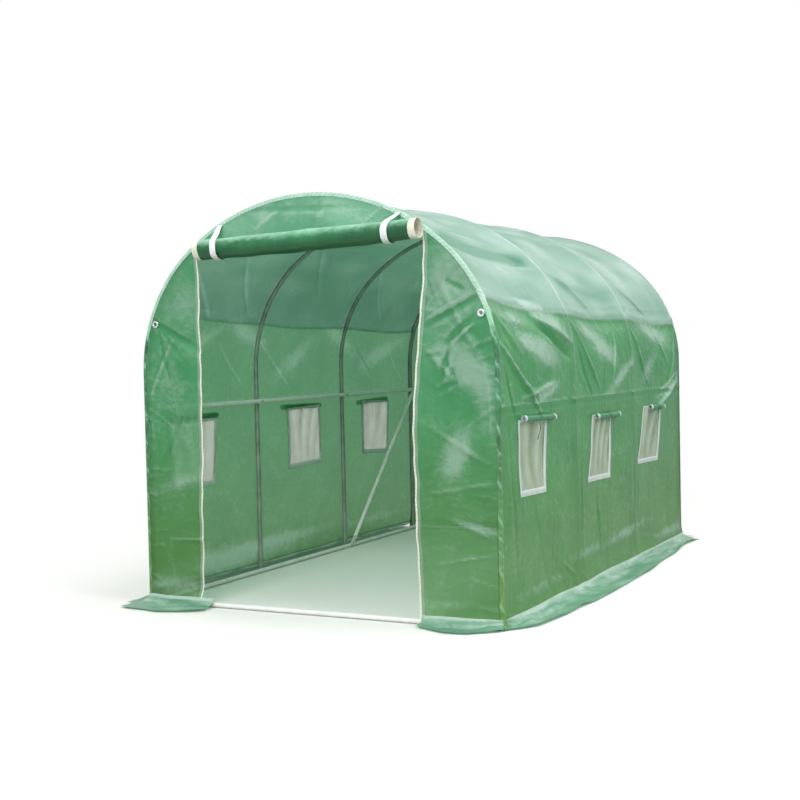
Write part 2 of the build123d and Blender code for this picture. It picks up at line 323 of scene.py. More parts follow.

# %% [markdown]
# The jacket is woven polythene: flat green tapes woven into a cloth and coated on both sides with a
# clear film. The coating gives it a wet-looking gloss, handling leaves it creased, and because it
# is thin, light comes through and the tubes show as soft dark lines, which low on the walls are
# also painted shade. So the shader is gloss over colour, mixed with light from behind and a little
# clear view. The tapes are about 3 mm apart in the real cloth, which a view of the whole tunnel
# can't show, so they are drawn at 8 mm. Where the film is creased or rubbed it turns milky. Each
# sheet carries a map of that, named haze, which also holds painted light: painted
# highlights and sheen where it is above 0, and painted shade where it is below.

# %% Woven polythene
def woven_polythene(name, deep, mid, pale, clear, through, crinkle, faded_and_sheen=0.0, soiled=0.6):
    """Coated woven polythene, from its deep, middle and pale green.

    clear is how much one sees through it, through how much light it scatters on to its other side,
    faded_and_sheen how far its upper slopes are paled, partly by sun-fading and partly as painted sky
    sheen, and soiled how yellow its foot has become."""
    material, tree = start_material(name)
    place = add(tree, "TexCoord").outputs["UV"]
    height = add(tree, "SeparateXYZ", Vector=add(tree, "TexCoord").outputs["Object"]).outputs["Z"]
    warp = add(tree, "TexWave", {"bands_direction": "X"}, Vector=place, Scale=39.0)
    weft = add(tree, "TexWave", {"bands_direction": "Y"}, Vector=place, Scale=39.0)
    grain = add(tree, "Math", MAXIMUM, i0=warp.outputs[1], i1=weft.outputs[1])
    # uneven coating: clouds a third of a metre across
    cloud = add(tree, "TexNoise", Vector=place, Scale=3.0, Detail=4.0, Roughness=0.55)
    # tapes that ran thicker or thinner off the loom: faint upright lines
    stretched = add(tree, "Mapping", Vector=place, Scale=(70.0, 1.4, 1.0))
    line = add(tree, "TexNoise", Vector=stretched, Scale=1.0, Detail=2.0)
    tone = add(tree, "MapRange", i0=cloud, i1=0.3, i2=0.7, i3=0.0, i4=1.0)
    body = add(tree, "Mix", RGBA, i0=tone, i6=colour(deep), i7=colour(mid))
    lines = add(tree, "MapRange", i0=line, i1=0.45, i2=0.75, i3=0.0, i4=0.03)
    body = add(tree, "Mix", RGBA, i0=lines, i6=body.outputs[2], i7=colour(pale))
    # near the ground, dust and splashed soil turn the green a little yellow
    soil = add(tree, "MapRange", SMOOTH, i0=height, i1=0.0, i2=1.2,
               i3=soiled, i4=0.0)
    film = add(tree, "Mix", RGBA, i0=soil, i6=body.outputs[2], i7=colour("#6C9438"))
    threads = add(tree, "MapRange", i0=grain, i1=0.8, i2=1.0, i3=0.0, i4=0.05)
    body = add(tree, "Mix", RGBA, i0=threads, i6=film.outputs[2], i7=colour(pale))
    # paler upper slopes in uneven patches: partly sun-faded film and partly painted sky sheen
    patch = add(tree, "TexNoise", Vector=place, Scale=2.6, Detail=2.0)
    lit = add(tree, "MapRange", SMOOTH, i0=height, i1=1.42, i2=1.75,
              i3=0.45 * faded_and_sheen, i4=faded_and_sheen)
    uneven = add(tree, "MapRange", i0=patch, i1=0.35, i2=0.65, i3=0.55, i4=1.0)
    lit = add(tree, "Math", MULTIPLY, i0=lit, i1=uneven)
    body = add(tree, "Mix", RGBA, i0=lit, i6=body.outputs[2], i7=colour(pale))
    # crumpled film breaks into flat facets with sharp edges, from a hand down to a finger wide
    bent = add(tree, "TexNoise", Vector=place, Scale=4.0, Detail=2.0)
    shift = add(tree, "VectorMath", MULTIPLY_ADD, i0=bent.outputs["Color"],
                i1=(0.16, 0.16, 0.0), i2=place)
    facet = add(tree, "TexVoronoi", {"feature": "F1"}, Vector=shift, Scale=9.0, Detail=3.0,
                Roughness=0.62, Lacunarity=2.3)
    slanted = add(tree, "Mapping", Vector=shift, Rotation=(0.0, 0.0, 0.7), Scale=(26.0, 40.0, 1.0))
    fine = add(tree, "TexNoise", Vector=slanted, Scale=1.0, Detail=2.0, Roughness=0.5)
    # the map's pale side, partly whitened creases and rubbed places and partly painted highlight and
    # sheen, has its misty edge broken up by the crumple
    haze = add(tree, "Attribute", {"attribute_name": "haze"}).outputs["Fac"]
    broken = add(tree, "Math", MULTIPLY_ADD, i0=fine, i1=0.5, i2=haze)
    broken = add(tree, "Math", MULTIPLY_ADD, i0=facet, i1=0.25, i2=broken)
    white = add(tree, "MapRange", SMOOTH, i0=broken, i1=0.46,
                i2=1.40, i3=0.0, i4=0.85)
    shade = add(tree, "MapRange", i0=haze, i1=-0.05, i2=-0.8, i3=0.0, i4=0.85)
    # from the other side the pale marks glow paler too, by less, and the painted shade of the furrows
    # stays deep on both
    milk_and_sheen = add(tree, "Math", MULTIPLY, i0=white, i1=0.6)
    for share, shared, over in ((white, milk_and_sheen, pale), (shade, shade, deep)):
        body = add(tree, "Mix", RGBA, i0=share, i6=body.outputs[2], i7=colour(over))
        film = add(tree, "Mix", RGBA, i0=shared, i6=film.outputs[2], i7=colour(over))
    worn = add(tree, "MapRange", i0=white, i1=0.0, i2=0.6, i3=0.03, i4=0.7)
    sharp = add(tree, "Math", MULTIPLY, i0=facet, i1=worn)
    bump = add(tree, "Bump", Height=grain, Strength=0.2, Distance=0.0004)
    bump = add(tree, "Bump", Height=sharp, Normal=bump, Strength=crinkle, Distance=0.009)
    rough = add(tree, "MapRange", i0=cloud, i1=0.3, i2=0.7, i3=0.30, i4=0.44)
    gloss = add(tree, "BsdfPrincipled", Base_Color=body.outputs[2], Roughness=rough, IOR=1.5,
                Specular_IOR_Level=0.25, Coat_Weight=0.15, Coat_Roughness=0.2, Normal=bump)
    glow = add(tree, "BsdfTranslucent", Color=film.outputs[2], Normal=bump)
    solid = add(tree, "MixShader", i0=through, i1=gloss, i2=glow)
    tint = add(tree, "Mix", RGBA, i0=0.5, i6=colour(mid), i7=colour(pale))
    see = add(tree, "BsdfTransparent", Color=tint.outputs[2])
    add(tree, "OutputMaterial", Surface=add(tree, "MixShader", i0=clear, i1=solid, i2=see))
    return material


JACKET = woven_polythene("green_woven_polythene", "#37985A", "#5BAE6E", "#C9E7DB", 0.22, 0.35, 0.7)
# the roof's paler colours and its paler upper slopes are partly sun-faded film and partly painted sky
# sheen
ROOF = woven_polythene("sun_paled_and_sheen_painted_woven_polythene", "#4C9475", "#6CAA8E", "#D2E7E3", 0.08, 0.32,
                       0.45, faded_and_sheen=0.64)
PANEL = woven_polythene("end_sheet_woven_polythene", "#4CA870", "#76C690", "#D3EDE3",
                         0.45, 0.42, 0.7, soiled=0.92)
HEADER = woven_polythene("end_gable_woven_polythene", "#64AD86", "#92CCAD", "#CFEADF", 0.12, 0.38,
                         0.7)
SKIRT = woven_polythene("pale_woven_polythene", "#6BAA8C", "#82BB9F", "#D2E9DF", 0.04, 0.30, 0.5,
                         soiled=0.1)
WOUND = woven_polythene("layered_woven_polythene", "#0D4425", "#2A7A4A", "#9AD2B3", 0.0, 0.04, 0.2)
FLAP = woven_polythene("rolled_flap_polythene", "#46A876", "#6CC596", "#B5E6CD", 0.12, 0.5, 0.3)
print("sheeting finishes", [m.name for m in (JACKET, ROOF, PANEL, HEADER, SKIRT, WOUND, FLAP)])

# %% [markdown]
# The window screen is an insect mesh: fine white threads with holes between them, so it is part
# solid and part clear. Real holes are 1 mm wide, far too fine for this view, so the mesh is drawn
# in a coarser 9 mm grain that says it is woven, from an eighth clear on the threads to a third.

# %% Insect mesh
INSECT_MESH, tree = start_material("white_woven_insect_mesh")
place = add(tree, "TexCoord").outputs["UV"]
warp = add(tree, "TexWave", {"bands_direction": "X"}, Vector=place, Scale=35.0)
weft = add(tree, "TexWave", {"bands_direction": "Y"}, Vector=place, Scale=35.0)
grain = add(tree, "Math", MAXIMUM, i0=warp.outputs[1], i1=weft.outputs[1])
dust = add(tree, "TexNoise", Vector=place, Scale=9.0, Detail=3.0)
shade = add(tree, "MapRange", i0=dust, i1=0.3, i2=0.7, i3=0.0, i4=1.0)
body = add(tree, "Mix", RGBA, i0=shade, i6=colour("#B6BFAE"), i7=colour("#CFD6C7"))
# the pleat wave makes each screen lighter on its folds and darker in its hollows: painted shading
pleat = add(tree, "MapRange", i0=add(tree, "Attribute", {"attribute_name": "haze"}).outputs["Fac"],
            i1=-1.0, i2=1.0, i3=0.0, i4=1.0)
body = add(tree, "Mix", {"data_type": "RGBA", "blend_type": "SOFT_LIGHT"}, i0=0.8,
           i6=body.outputs[2], i7=pleat)
bump = add(tree, "Bump", Height=grain, Strength=0.3, Distance=0.0005)
matt = add(tree, "BsdfPrincipled", Base_Color=body.outputs[2], Roughness=0.7, Normal=bump)
glow = add(tree, "BsdfTranslucent", Color=body.outputs[2])
solid = add(tree, "MixShader", i0=0.35, i1=matt, i2=glow)
holes = add(tree, "MapRange", i0=grain, i1=0.0, i2=1.0, i3=0.34, i4=0.12)
clear = add(tree, "BsdfTransparent")
add(tree, "OutputMaterial", Surface=add(tree, "MixShader", i0=holes, i1=solid, i2=clear))

# %% [markdown]
# Tape, thread and metal need less. Woven tape is matt and slightly ribbed, and the zip's edge is a
# creamier white. Galvanised steel is dipped in zinc, which gives soft pale clouds and a satin shine.
# The hoops carry a grey-green coating, rubbed paler here and there.

# %% Woven tapes and thread
def woven_tape(name, dark, light, rib, clear=0.0, through=0.2):
    """Ribbed polyester tape, from its two tones, the spacing of its ribs and how clear it is.

    through is how much light it scatters on to its other side."""
    material, tree = start_material(name)
    place = add(tree, "TexCoord").outputs["UV"]
    slant = add(tree, "TexWave", {"bands_direction": "DIAGONAL"}, Vector=place,
                Scale=0.314 / rib, Distortion=0.4)
    soil = add(tree, "TexNoise", Vector=place, Scale=14.0, Detail=4.0)
    tone = add(tree, "MapRange", i0=soil, i1=0.3, i2=0.7, i3=0.0, i4=0.6)
    tone = add(tree, "Math", MULTIPLY_ADD, i0=slant.outputs[1], i1=0.4, i2=tone)
    body = add(tree, "Mix", RGBA, i0=tone, i6=colour(dark), i7=colour(light))
    bump = add(tree, "Bump", Height=slant.outputs[1], Strength=0.5, Distance=0.0008)
    matt = add(tree, "BsdfPrincipled", Base_Color=body.outputs[2], Roughness=0.72, Normal=bump)
    glow = add(tree, "BsdfTranslucent", Color=body.outputs[2])
    solid = add(tree, "MixShader", i0=through, i1=matt, i2=glow)
    see = add(tree, "BsdfTransparent")
    add(tree, "OutputMaterial", Surface=add(tree, "MixShader", i0=clear, i1=solid, i2=see))
    return material


WHITE_TAPE = woven_tape("white_woven_polyester_tape", "#E0ECF2", "#FFFFFF", 0.008, 0.0, 0.45)
TIE_TAPE = woven_tape("heavy_white_woven_tape", "#E2EAEE", "#FBFDFE", 0.008)
ZIP_TAPE = woven_tape("cream_zip_tape", "#D6D8C6", "#F6F5EA", 0.01)
SHEER_TAPE = woven_tape("sheer_white_woven_tape", "#C6DCD2", "#EAF3EF", 0.008, 0.5, 0.6)
HEM_TAPE = woven_tape("pale_green_binding_tape", "#93C4AA", "#CBE4D8", 0.012)
THREAD = woven_tape("dark_green_twisted_cord", "#1E5C3B", "#3A8258", 0.004)


# %% Steel and aluminium
def coated_metal(name, dark, light, metallic, roughness, spot):
    """Metal with soft clouds about spot metres wide and a fine grit."""
    material, tree = start_material(name)
    place = add(tree, "TexCoord").outputs["Object"]
    cloud = add(tree, "TexNoise", Vector=place, Scale=1 / spot, Detail=5.0, Roughness=0.6)
    grit = add(tree, "TexNoise", Vector=place, Scale=260.0, Detail=2.0)
    tone = add(tree, "MapRange", i0=cloud, i1=0.35, i2=0.68, i3=0.0, i4=1.0)
    body = add(tree, "Mix", RGBA, i0=tone, i6=colour(dark), i7=colour(light))
    rough = add(tree, "MapRange", i0=cloud, i1=0.3, i2=0.7, i3=roughness - 0.08, i4=roughness + 0.1)
    bump = add(tree, "Bump", Height=grit, Strength=0.05, Distance=0.0003)
    skin = add(tree, "BsdfPrincipled", Base_Color=body.outputs[2], Metallic=metallic,
               Roughness=rough.outputs[0], Normal=bump)
    add(tree, "OutputMaterial", Surface=skin)
    return material


HOOP_STEEL = coated_metal("grey_green_coated_steel", "#7B8880", "#9BA9A1", 0.2, 0.36, 0.09)
PALE_STEEL = coated_metal("galvanised_steel", "#E4E8E5", "#F6F8F6", 0.0, 0.38, 0.06)
BOLT_STEEL = coated_metal("zinc_plated_steel", "#9FA6A5", "#D5D8D7", 0.9, 0.3, 0.008)
RING = coated_metal("pressed_aluminium", "#B9BDC0", "#E6E8EA", 0.95, 0.28, 0.01)

# %% The steel frame keeps its CAD shape and gets its finish
# the soft solids get it too, until the pieces made further down take their place
for name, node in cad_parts.items():
    if node.type != "MESH":
        continue
    steel = HOOP_STEEL if name.startswith("hoop_") else PALE_STEEL
    node.data.materials.clear()
    node.data.materials.append(steel)
print("CAD nodes finished", len(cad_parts))

# %% [markdown]
# Slack sheeting never lies flat. It has swells a hand or two wide, and straight creases: single
# ones, fans that spread from wherever it is held, and scattered crumples. Each is a small function
# of a place on the flat cut that says how far the cloth stands out there, and each sheet below adds
# up the ones it needs. This gives folds where the real ones run, which a simulation can't be told
# to do.

# %% Folds and swells
def ease(distance, reach):
    """From 0 at an edge to 1 at reach metres from it."""
    t = np.clip(distance / reach, 0, 1)
    return t * t * (3 - 2 * t)


def swell(across, up, size, seed, stretch=1.0):
    """A smooth random field from -1 to 1, with hills about size metres wide."""
    p = across / (size * stretch)
    q = up / size
    p, q = p - p.min(), q - q.min()
    hills = np.random.default_rng(seed).uniform(-1, 1, (int(p.max()) + 3, int(q.max()) + 3))
    i, j = p.astype(int), q.astype(int)
    a, b = ease(p - i, 1), ease(q - j, 1)
    low = hills[i, j] * (1 - a) + hills[i + 1, j] * a
    high = hills[i, j + 1] * (1 - a) + hills[i + 1, j + 1] * a
    return low * (1 - b) + high * b


def crease(across, up, start, end, width, height):
    """One straight fold, sharp along its line and fading at both tips."""
    run = (end[0] - start[0], end[1] - start[1])
    length = math.hypot(*run)
    along = ((across - start[0]) * run[0] + (up - start[1]) * run[1]) / length**2
    off = np.abs((across - start[0]) * run[1] - (up - start[1]) * run[0]) / length
    fade = np.sin(np.pi * np.clip(along, 0, 1)) ** 0.6
    return height * fade * np.clip(1 - off / width, 0, None) ** 1.5


def fan(across, up, centre, angles, reach, width, height, seed):
    """Creases that spread from a point where the cloth is held, between two angles in degrees."""
    draw = np.random.default_rng(seed)
    total = np.zeros_like(across)
    for angle in np.radians(angles):
        way = (math.cos(angle), math.sin(angle))
        far = reach * draw.uniform(0.6, 1.0)
        start = (centre[0] - 0.1 * far * way[0], centre[1] - 0.1 * far * way[1])
        end = (centre[0] + far * way[0], centre[1] + far * way[1])
        total += crease(across, up, start, end, width * draw.uniform(0.7, 1.3),
                        height * draw.uniform(0.6, 1.0))
    return total


def crumple(across, up, count, area, seed, height=0.003, slant=None, long=(0.08, 0.32)):
    """Many small creases over area, given as (left, right, bottom, top)."""
    draw = np.random.default_rng(seed)
    total = np.zeros_like(across)
    for _ in range(count):
        a, b = draw.uniform(area[0], area[1]), draw.uniform(area[2], area[3])
        angle = draw.uniform(0, math.pi) if slant is None else draw.normal(slant, 0.3)
        half, width = draw.uniform(*long) / 2, draw.uniform(0.014, 0.032)
        step = (half * math.cos(angle), half * math.sin(angle))
        tall = height * draw.uniform(0.4, 1.0) * draw.choice((-1, 1))
        near = (np.abs(across - a) < half + width) & (np.abs(up - b) < half + width)
        total[near] += crease(across[near], up[near], (a - step[0], b - step[1]),
                              (a + step[0], b + step[1]), width, tall)
    return total


# %% [markdown]
# One map holds how far the jacket stands out from its CAD outline, over its whole length and girth.
# Roof, walls, seams and windows all read this one map, so they stay together. Between two hoops the
# sheeting sags, and over each hoop it is drawn to a ridge, which is what gives the roof its
# scalloped outline.

# %% The jacket's map: sag and swells
SEAM_DRIFT = ((-1.515, -1.356, -0.971, -0.698, -0.176, 0.39, 1.079, 1.515),
              (0.040, 0.036, 0.006, -0.014, -0.028, -0.032, -0.054, -0.050))


def drifted(y, girth):
    """Where slack lets the cloth near a seam ride: up at the front, and down towards the rear."""
    near = 1 - ease(np.abs(girth - SEAM_GIRTH), 0.45)
    return girth + np.interp(y, *SEAM_DRIFT) * near


map_y = np.linspace(-END, END, 304)
map_over = np.linspace(-HALF_GIRTH, HALF_GIRTH, 522)
Y, OVER = np.meshgrid(map_y, map_over, indexing="ij")
GIRTH_UP = HALF_GIRTH - np.abs(OVER)
SIDE = np.sign(OVER)
bay = np.clip((Y - HOOPS[0]) / BAY, 0, 2.9999)
part = bay - np.floor(bay)
hang = 4 * part * (1 - part) * ((Y > HOOPS[0]) & (Y < HOOPS[3]))
depth = 0.005 + 0.020 * ease(GIRTH_UP - 1.05, 0.6)
depth += 0.012 * ease(GIRTH_UP - 1.25, 0.35) * ease(2.35 - GIRTH_UP, 0.35)
depth *= ease(GIRTH_UP, 0.3)
held = ease(np.abs(hang), 0.35)
stand = -hang * depth * (1 + 0.35 * swell(Y, OVER, 0.9, 3))
stand += held * (0.009 * swell(Y, OVER, 0.34, 4) + 0.005 * swell(Y, OVER, 0.15, 5, 1.6))
stand += 0.026 * (1 - ease(GIRTH_UP, 0.16)) ** 2 * (0.75 + 0.5 * swell(Y, OVER, 0.5, 6))
print("deepest sag", round(float(-stand.min()), 4), "m")

# %% [markdown]
# Now the folds. Those on the right wall and roof are placed one by one: a long drape behind the
# front arch, a slack triangle that hangs under the seam by the second hoop, slanting pulls from the
# front arch down towards the first window, and a pull from the end of the rear rail to the last
# window. The left wall has its own, and the rest are scattered at random.

# %% The jacket's map: folds
def wall_fold(side, start, end, width, height):
    """A fold on one wall or its shoulder, its ends given as y and girth above the ground."""
    return crease(Y, GIRTH_UP, start, end, width, height) * (SIDE == side)


FOLDS = (
    (1, (-1.54, 1.85), (-0.50, 1.76), 0.070, -0.030), (1, (-1.50, 1.95), (-0.72, 1.92), 0.045, 0.014),
    (1, (-1.30, 1.80), (-0.56, 1.72), 0.050, 0.010), (1, (-0.98, 1.43), (-0.50, 1.27), 0.045, 0.020),
    (1, (-0.95, 1.38), (-0.55, 1.20), 0.035, -0.016), (1, (-1.52, 1.31), (-0.98, 0.95), 0.024, 0.020),
    (1, (-1.50, 1.44), (-1.20, 1.22), 0.034, 0.006),
    (1, (-1.28, 1.02), (-0.80, 1.09), 0.026, 0.012), (1, (-1.24, 1.10), (-0.98, 1.02), 0.018, 0.010),
    (1, (-1.44, 1.18), (-1.32, 0.92), 0.022, -0.012), (1, (1.48, 1.04), (0.93, 0.86), 0.030, 0.020),
    (1, (1.48, 1.10), (1.02, 0.97), 0.022, 0.012), (1, (1.46, 1.34), (1.20, 0.98), 0.024, 0.012),
    (1, (-1.42, 0.92), (-1.32, 0.10), 0.026, -0.004), (1, (-0.20, 0.50), (-0.12, 0.12), 0.030, -0.006),
    (1, (-0.48, 1.40), (-0.08, 1.02), 0.026, 0.013), (1, (-0.44, 1.28), (-0.22, 0.98), 0.024, -0.010),
    (1, (0.24, 1.38), (0.12, 1.06), 0.026, 0.011), (1, (0.52, 1.38), (0.84, 1.02), 0.026, 0.013),
    (1, (0.55, 1.70), (0.98, 1.46), 0.040, 0.014), (1, (-0.45, 1.75), (0.00, 1.47), 0.040, 0.012),
    (1, (0.98, 1.44), (1.24, 1.10), 0.024, 0.011), (1, (-0.40, 0.90), (-0.46, 0.20), 0.022, -0.003),
    (1, (0.60, 0.90), (0.54, 0.14), 0.022, -0.003), (1, (-0.74, 0.20), (-0.56, 0.10), 0.020, 0.006),
    (-1, (-1.10, 1.95), (-0.55, 1.42), 0.030, 0.015), (-1, (-0.46, 2.10), (0.02, 1.62), 0.030, 0.014),
    (-1, (-0.30, 2.00), (0.20, 1.50), 0.026, -0.011), (-1, (0.54, 1.90), (0.95, 1.50), 0.026, 0.012),
    (-1, (-1.48, 1.30), (-1.10, 0.96), 0.024, 0.011), (-1, (0.60, 1.40), (0.98, 1.06), 0.024, -0.010),
    (-1, (-1.40, 1.80), (-1.02, 1.44), 0.028, 0.013), (-1, (-0.44, 1.34), (-0.10, 1.04), 0.022, 0.010),
    (-1, (-0.90, 1.36), (-0.56, 1.02), 0.022, 0.009), (-1, (0.20, 1.80), (0.46, 1.46), 0.026, 0.011),
    (-1, (1.02, 1.92), (1.44, 1.46), 0.028, 0.012), (-1, (1.10, 1.36), (1.46, 1.00), 0.024, 0.010),
)
for *fold, height in FOLDS:
    stand += wall_fold(*fold, 1.25 * height)
print("folds placed", len(FOLDS))

# %% The jacket's map: fans, crumples and seams
for hoop, seed in zip(HOOPS, range(20, 24)):
    way = (-30, -55) if hoop < HOOPS[3] else (210, 235)
    for side in (1, -1):
        stand += fan(Y, GIRTH_UP, (hoop, SEAM_GIRTH - 0.02), (*way, -12 if way[0] < 0 else 192),
                     0.36, 0.026, 0.0032, seed + side) * (SIDE == side)
        stand += fan(Y, GIRTH_UP, (hoop, WAIST), (40, 140, 20, 160), 0.2, 0.018, 0.004,
                     seed + 9 + side) * (SIDE == side)
stand += held * crumple(Y, OVER, 110, (-END, END, -1.15, 1.15), 31, 0.0040, 0.1, (0.15, 0.5))
for side in (1, -1):
    low, high = sorted((side * (HALF_GIRTH - 1.45), side * (HALF_GIRTH - 1.0)))
    stand += crumple(Y, OVER, 150, (-END, END, low, high), 32 + side, 0.0024)
    low, high = sorted((side * (HALF_GIRTH - 1.0), side * (HALF_GIRTH - 0.1)))
    stand += held * crumple(Y, OVER, 90, (-END, END, low, high), 36 + side, 0.0012, math.pi / 2)
# lines left by the folds of its box, a fainter grid
for line in np.arange(-1.26, 1.3, 0.42):
    stand += 0.0018 * np.clip(1 - np.abs(Y - line) / 0.016, 0, None)
for line in np.arange(-2.2, 2.3, 0.55):
    stand += 0.0018 * np.clip(1 - np.abs(OVER - line) / 0.016, 0, None)
# the roof bellies out just over the seam, and the wall drops in under it
under = SEAM_GIRTH + np.interp(Y, *SEAM_DRIFT) - GIRTH_UP
stand += 0.004 * np.exp(-((under + 0.02) / 0.025)**2)
stand -= held * 0.005 * np.exp(-((under - 0.03) / 0.04)**2) * (1 + 0.5 * swell(Y, OVER, 0.3, 8))

# %% [markdown]
# Last, the map is kept clear of the steel: the cloth may touch a hoop, a rail or the ridge, but
# never cut into it. Near each tube the least it may stand is worked out from the tube's roundness.

# %% The jacket's map: clear of the tubes
def clear_of_tube(stand, distance, gap):
    """No deeper than the tube's own round surface, whose top is gap metres behind the cloth."""
    inside = np.clip(np.abs(distance) / TUBE_RADIUS, 0, 1)
    least = -gap - TUBE_RADIUS * (1 - np.sqrt(1 - inside**2))
    return np.where(np.abs(distance) < TUBE_RADIUS, np.maximum(stand, least), stand)


stand = np.maximum(stand, -0.040)
for hoop in HOOPS:
    stand = clear_of_tube(stand, Y - hoop, 0.0005)
rail_gap = HALF_WIDTH - rail_high.x - 0.001
stand = clear_of_tube(stand, GIRTH_UP - WAIST, rail_gap)
ridge_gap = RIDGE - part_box("ridge_rail")[1].z - 0.001
stand = clear_of_tube(stand, OVER, ridge_gap)
stand *= ease(END - np.abs(Y), 0.012)
print("jacket stands from", round(float(stand.min()), 4), "to", round(float(stand.max()), 4), "m")


def read_map(field, box, a, b):
    """The map's value at a and b, read between its points. box is its (low, high, low, high)."""
    p = np.clip((a - box[0]) / (box[1] - box[0]), 0, 1) * (field.shape[0] - 1)
    q = np.clip((b - box[2]) / (box[3] - box[2]), 0, 1) * (field.shape[1] - 1)
    i = np.minimum(p.astype(int), field.shape[0] - 2)
    j = np.minimum(q.astype(int), field.shape[1] - 2)
    p, q = p - i, q - j
    low = field[i, j] * (1 - p) + field[i + 1, j] * p
    return low * (1 - q) + (field[i, j + 1] * (1 - p) + field[i + 1, j + 1] * p) * q


JACKET_BOX = (-END, END, -HALF_GIRTH, HALF_GIRTH)


def stand_at(y, over):
    """How far the jacket stands out at a place."""
    return read_map(stand, JACKET_BOX, y, over)


# %% [markdown]
# Polythene turns milky where it is bent sharply or rubbed. So each map of folds gets a map named
# haze to go with it, which is partly that whitening and partly painted light: painted
# highlights on the sharp ridges and painted shade in the furrows. The high-pass of the folds gives
# the creases: the map less a softened copy of itself. Larger pale patches, partly mist and partly
# painted sheen, are listed one by one, where cloth hangs slack below the seam and beside the
# eyelets, and along the tubes that it is drawn over go painted highlights and painted shade.

# %% The jacket's haze
# a ridge that high over its softened map is fully milky, partly as painted highlight, and a furrow that
# deep is fully in painted shade
SOFTENINGS, SHARP = 6, 0.007    # rounds of softening, and the height over it that is all milky


def softened(field):
    """The map with each point drawn towards its neighbours, over and over."""
    for _ in range(SOFTENINGS):
        wide = np.pad(field, 1, mode="edge")
        field = (wide[:-2, 1:-1] + wide[2:, 1:-1] + wide[1:-1, :-2] + wide[1:-1, 2:] + 4 * field) / 8
    return field


def creases_of(field):
    """From -1 in the sharp furrows of a map of folds to 1 on its sharp ridges."""
    sharp = (field - softened(field)) / SHARP
    return np.clip(np.sign(sharp) * np.maximum(np.abs(sharp) - 0.08, 0), -1, 1)


def mist_and_sheen(across, up, patches):
    """Pale patches, partly mist and partly painted sheen, each given by its middle, its half sizes, its
    turn and its strength.
    """
    total = np.zeros_like(across)
    for a, b, half_a, half_b, turn, strength in patches:
        p = (math.cos(turn) * (across - a) + math.sin(turn) * (up - b)) / half_a
        q = (math.cos(turn) * (up - b) - math.sin(turn) * (across - a)) / half_b
        total += strength * np.exp(-(p * p + q * q) ** 1.4)
    return total


RIGHT_MIST_AND_SHEEN = (
    (-0.80, 1.42, 0.24, 0.050, -0.35, 0.75), (-1.20, 1.41, 0.18, 0.035, -0.10, 0.5),
    (-0.92, 1.24, 0.19, 0.065, -0.30, 0.75), (-1.12, 1.29, 0.12, 0.040, -0.30, 0.55),
    (-0.90, 1.05, 0.16, 0.040, 0.20, 0.75), (0.02, 1.25, 0.22, 0.065, -0.35, 0.65),
    (-0.20, 1.34, 0.14, 0.040, -0.2, 0.5), (0.28, 1.09, 0.28, 0.035, 0.36, 0.6),
    (1.02, 1.34, 0.30, 0.060, -0.20, 0.75), (1.25, 1.00, 0.27, 0.032, 0.27, 0.75),
    (0.85, 1.12, 0.18, 0.050, 0.5, 0.4), (0.30, 0.20, 0.36, 0.030, 0.05, 0.5),
    (-0.35, 0.19, 0.25, 0.025, 0.0, 0.35), (1.20, 0.10, 0.30, 0.030, 0.0, 0.45),
    (-1.0, 0.12, 0.30, 0.025, 0.0, 0.3),
)
LEFT_MIST_AND_SHEEN = (
    (-0.90, 0.12, 0.80, 0.070, 0.02, 0.8), (-1.15, 1.30, 0.26, 0.060, 0.40, 0.6),
    (-0.60, 1.38, 0.22, 0.050, -0.30, 0.6), (-0.10, 1.22, 0.24, 0.060, 0.50, 0.5),
    (0.45, 1.36, 0.24, 0.050, -0.40, 0.6), (1.05, 1.25, 0.30, 0.060, 0.30, 0.6),
    (-0.20, 0.16, 0.50, 0.030, 0.00, 0.4), (0.95, 0.14, 0.40, 0.030, 0.00, 0.4),
)
# the folds' sharp ridges are made pale, partly whitened film and partly painted highlight, and their
# furrows get painted shade
haze = creases_of(stand)
# pale patches, partly mist and partly painted sheen
haze += mist_and_sheen(Y, GIRTH_UP, RIGHT_MIST_AND_SHEEN) * (SIDE > 0) + mist_and_sheen(Y, GIRTH_UP, LEFT_MIST_AND_SHEEN) * (SIDE < 0)
# along each hoop: a painted highlight on the upper wall and roof, where the cloth is drawn over it, and
# painted shade low on the wall
for hoop in HOOPS:
    line = np.clip(1 - np.abs(Y - hoop) / 0.020, 0, None)
    haze += line * (0.45 * ease(GIRTH_UP - 1.0, 0.3) - 0.45 * (1 - ease(GIRTH_UP - 0.7, 0.3)))
    haze += 0.35 * line * ease(GIRTH_UP - SEAM_GIRTH, 0.1)
# a painted highlight just above the waist rail, and painted shade just below it
haze += 0.35 * np.clip(1 - np.abs(GIRTH_UP - WAIST - 0.010) / 0.012, 0, None)
haze -= 0.55 * np.clip(1 - np.abs(GIRTH_UP - WAIST + 0.010) / 0.014, 0, None)
# where the slack roof drapes behind the front arch, its underside is painted deep: painted shade
haze -= (SIDE > 0) * crease(Y, GIRTH_UP, (-1.54, 1.87), (-0.56, 1.79), 0.08, 1.7)
haze -= (SIDE > 0) * crease(Y, GIRTH_UP, (-0.45, 1.66), (0.40, 1.58), 0.07, 0.8)
# a brace inside is painted on as a soft dark streak under the first window: a painted shadow
haze -= (SIDE > 0) * crease(Y, GIRTH_UP, (-1.16, 0.62), (-0.86, 0.02), 0.030, 0.7)
# on the roof: soft patches of painted sheen and painted shade, a little darker overall, and the painted
# highlights and shade of fine crumples
on_top = ease(GIRTH_UP - SEAM_GIRTH - 0.02, 0.15)
haze += on_top * (0.36 * swell(Y, OVER, 0.10, 9, 2.4) - 0.20)
haze += on_top * creases_of(crumple(Y, OVER, 130, (-END, END, -1.1, 1.1), 39, 0.004, 0.3, (0.1, 0.4)))
print("haze from", round(float(haze.min()), 2), "to", round(float(haze.max()), 2))


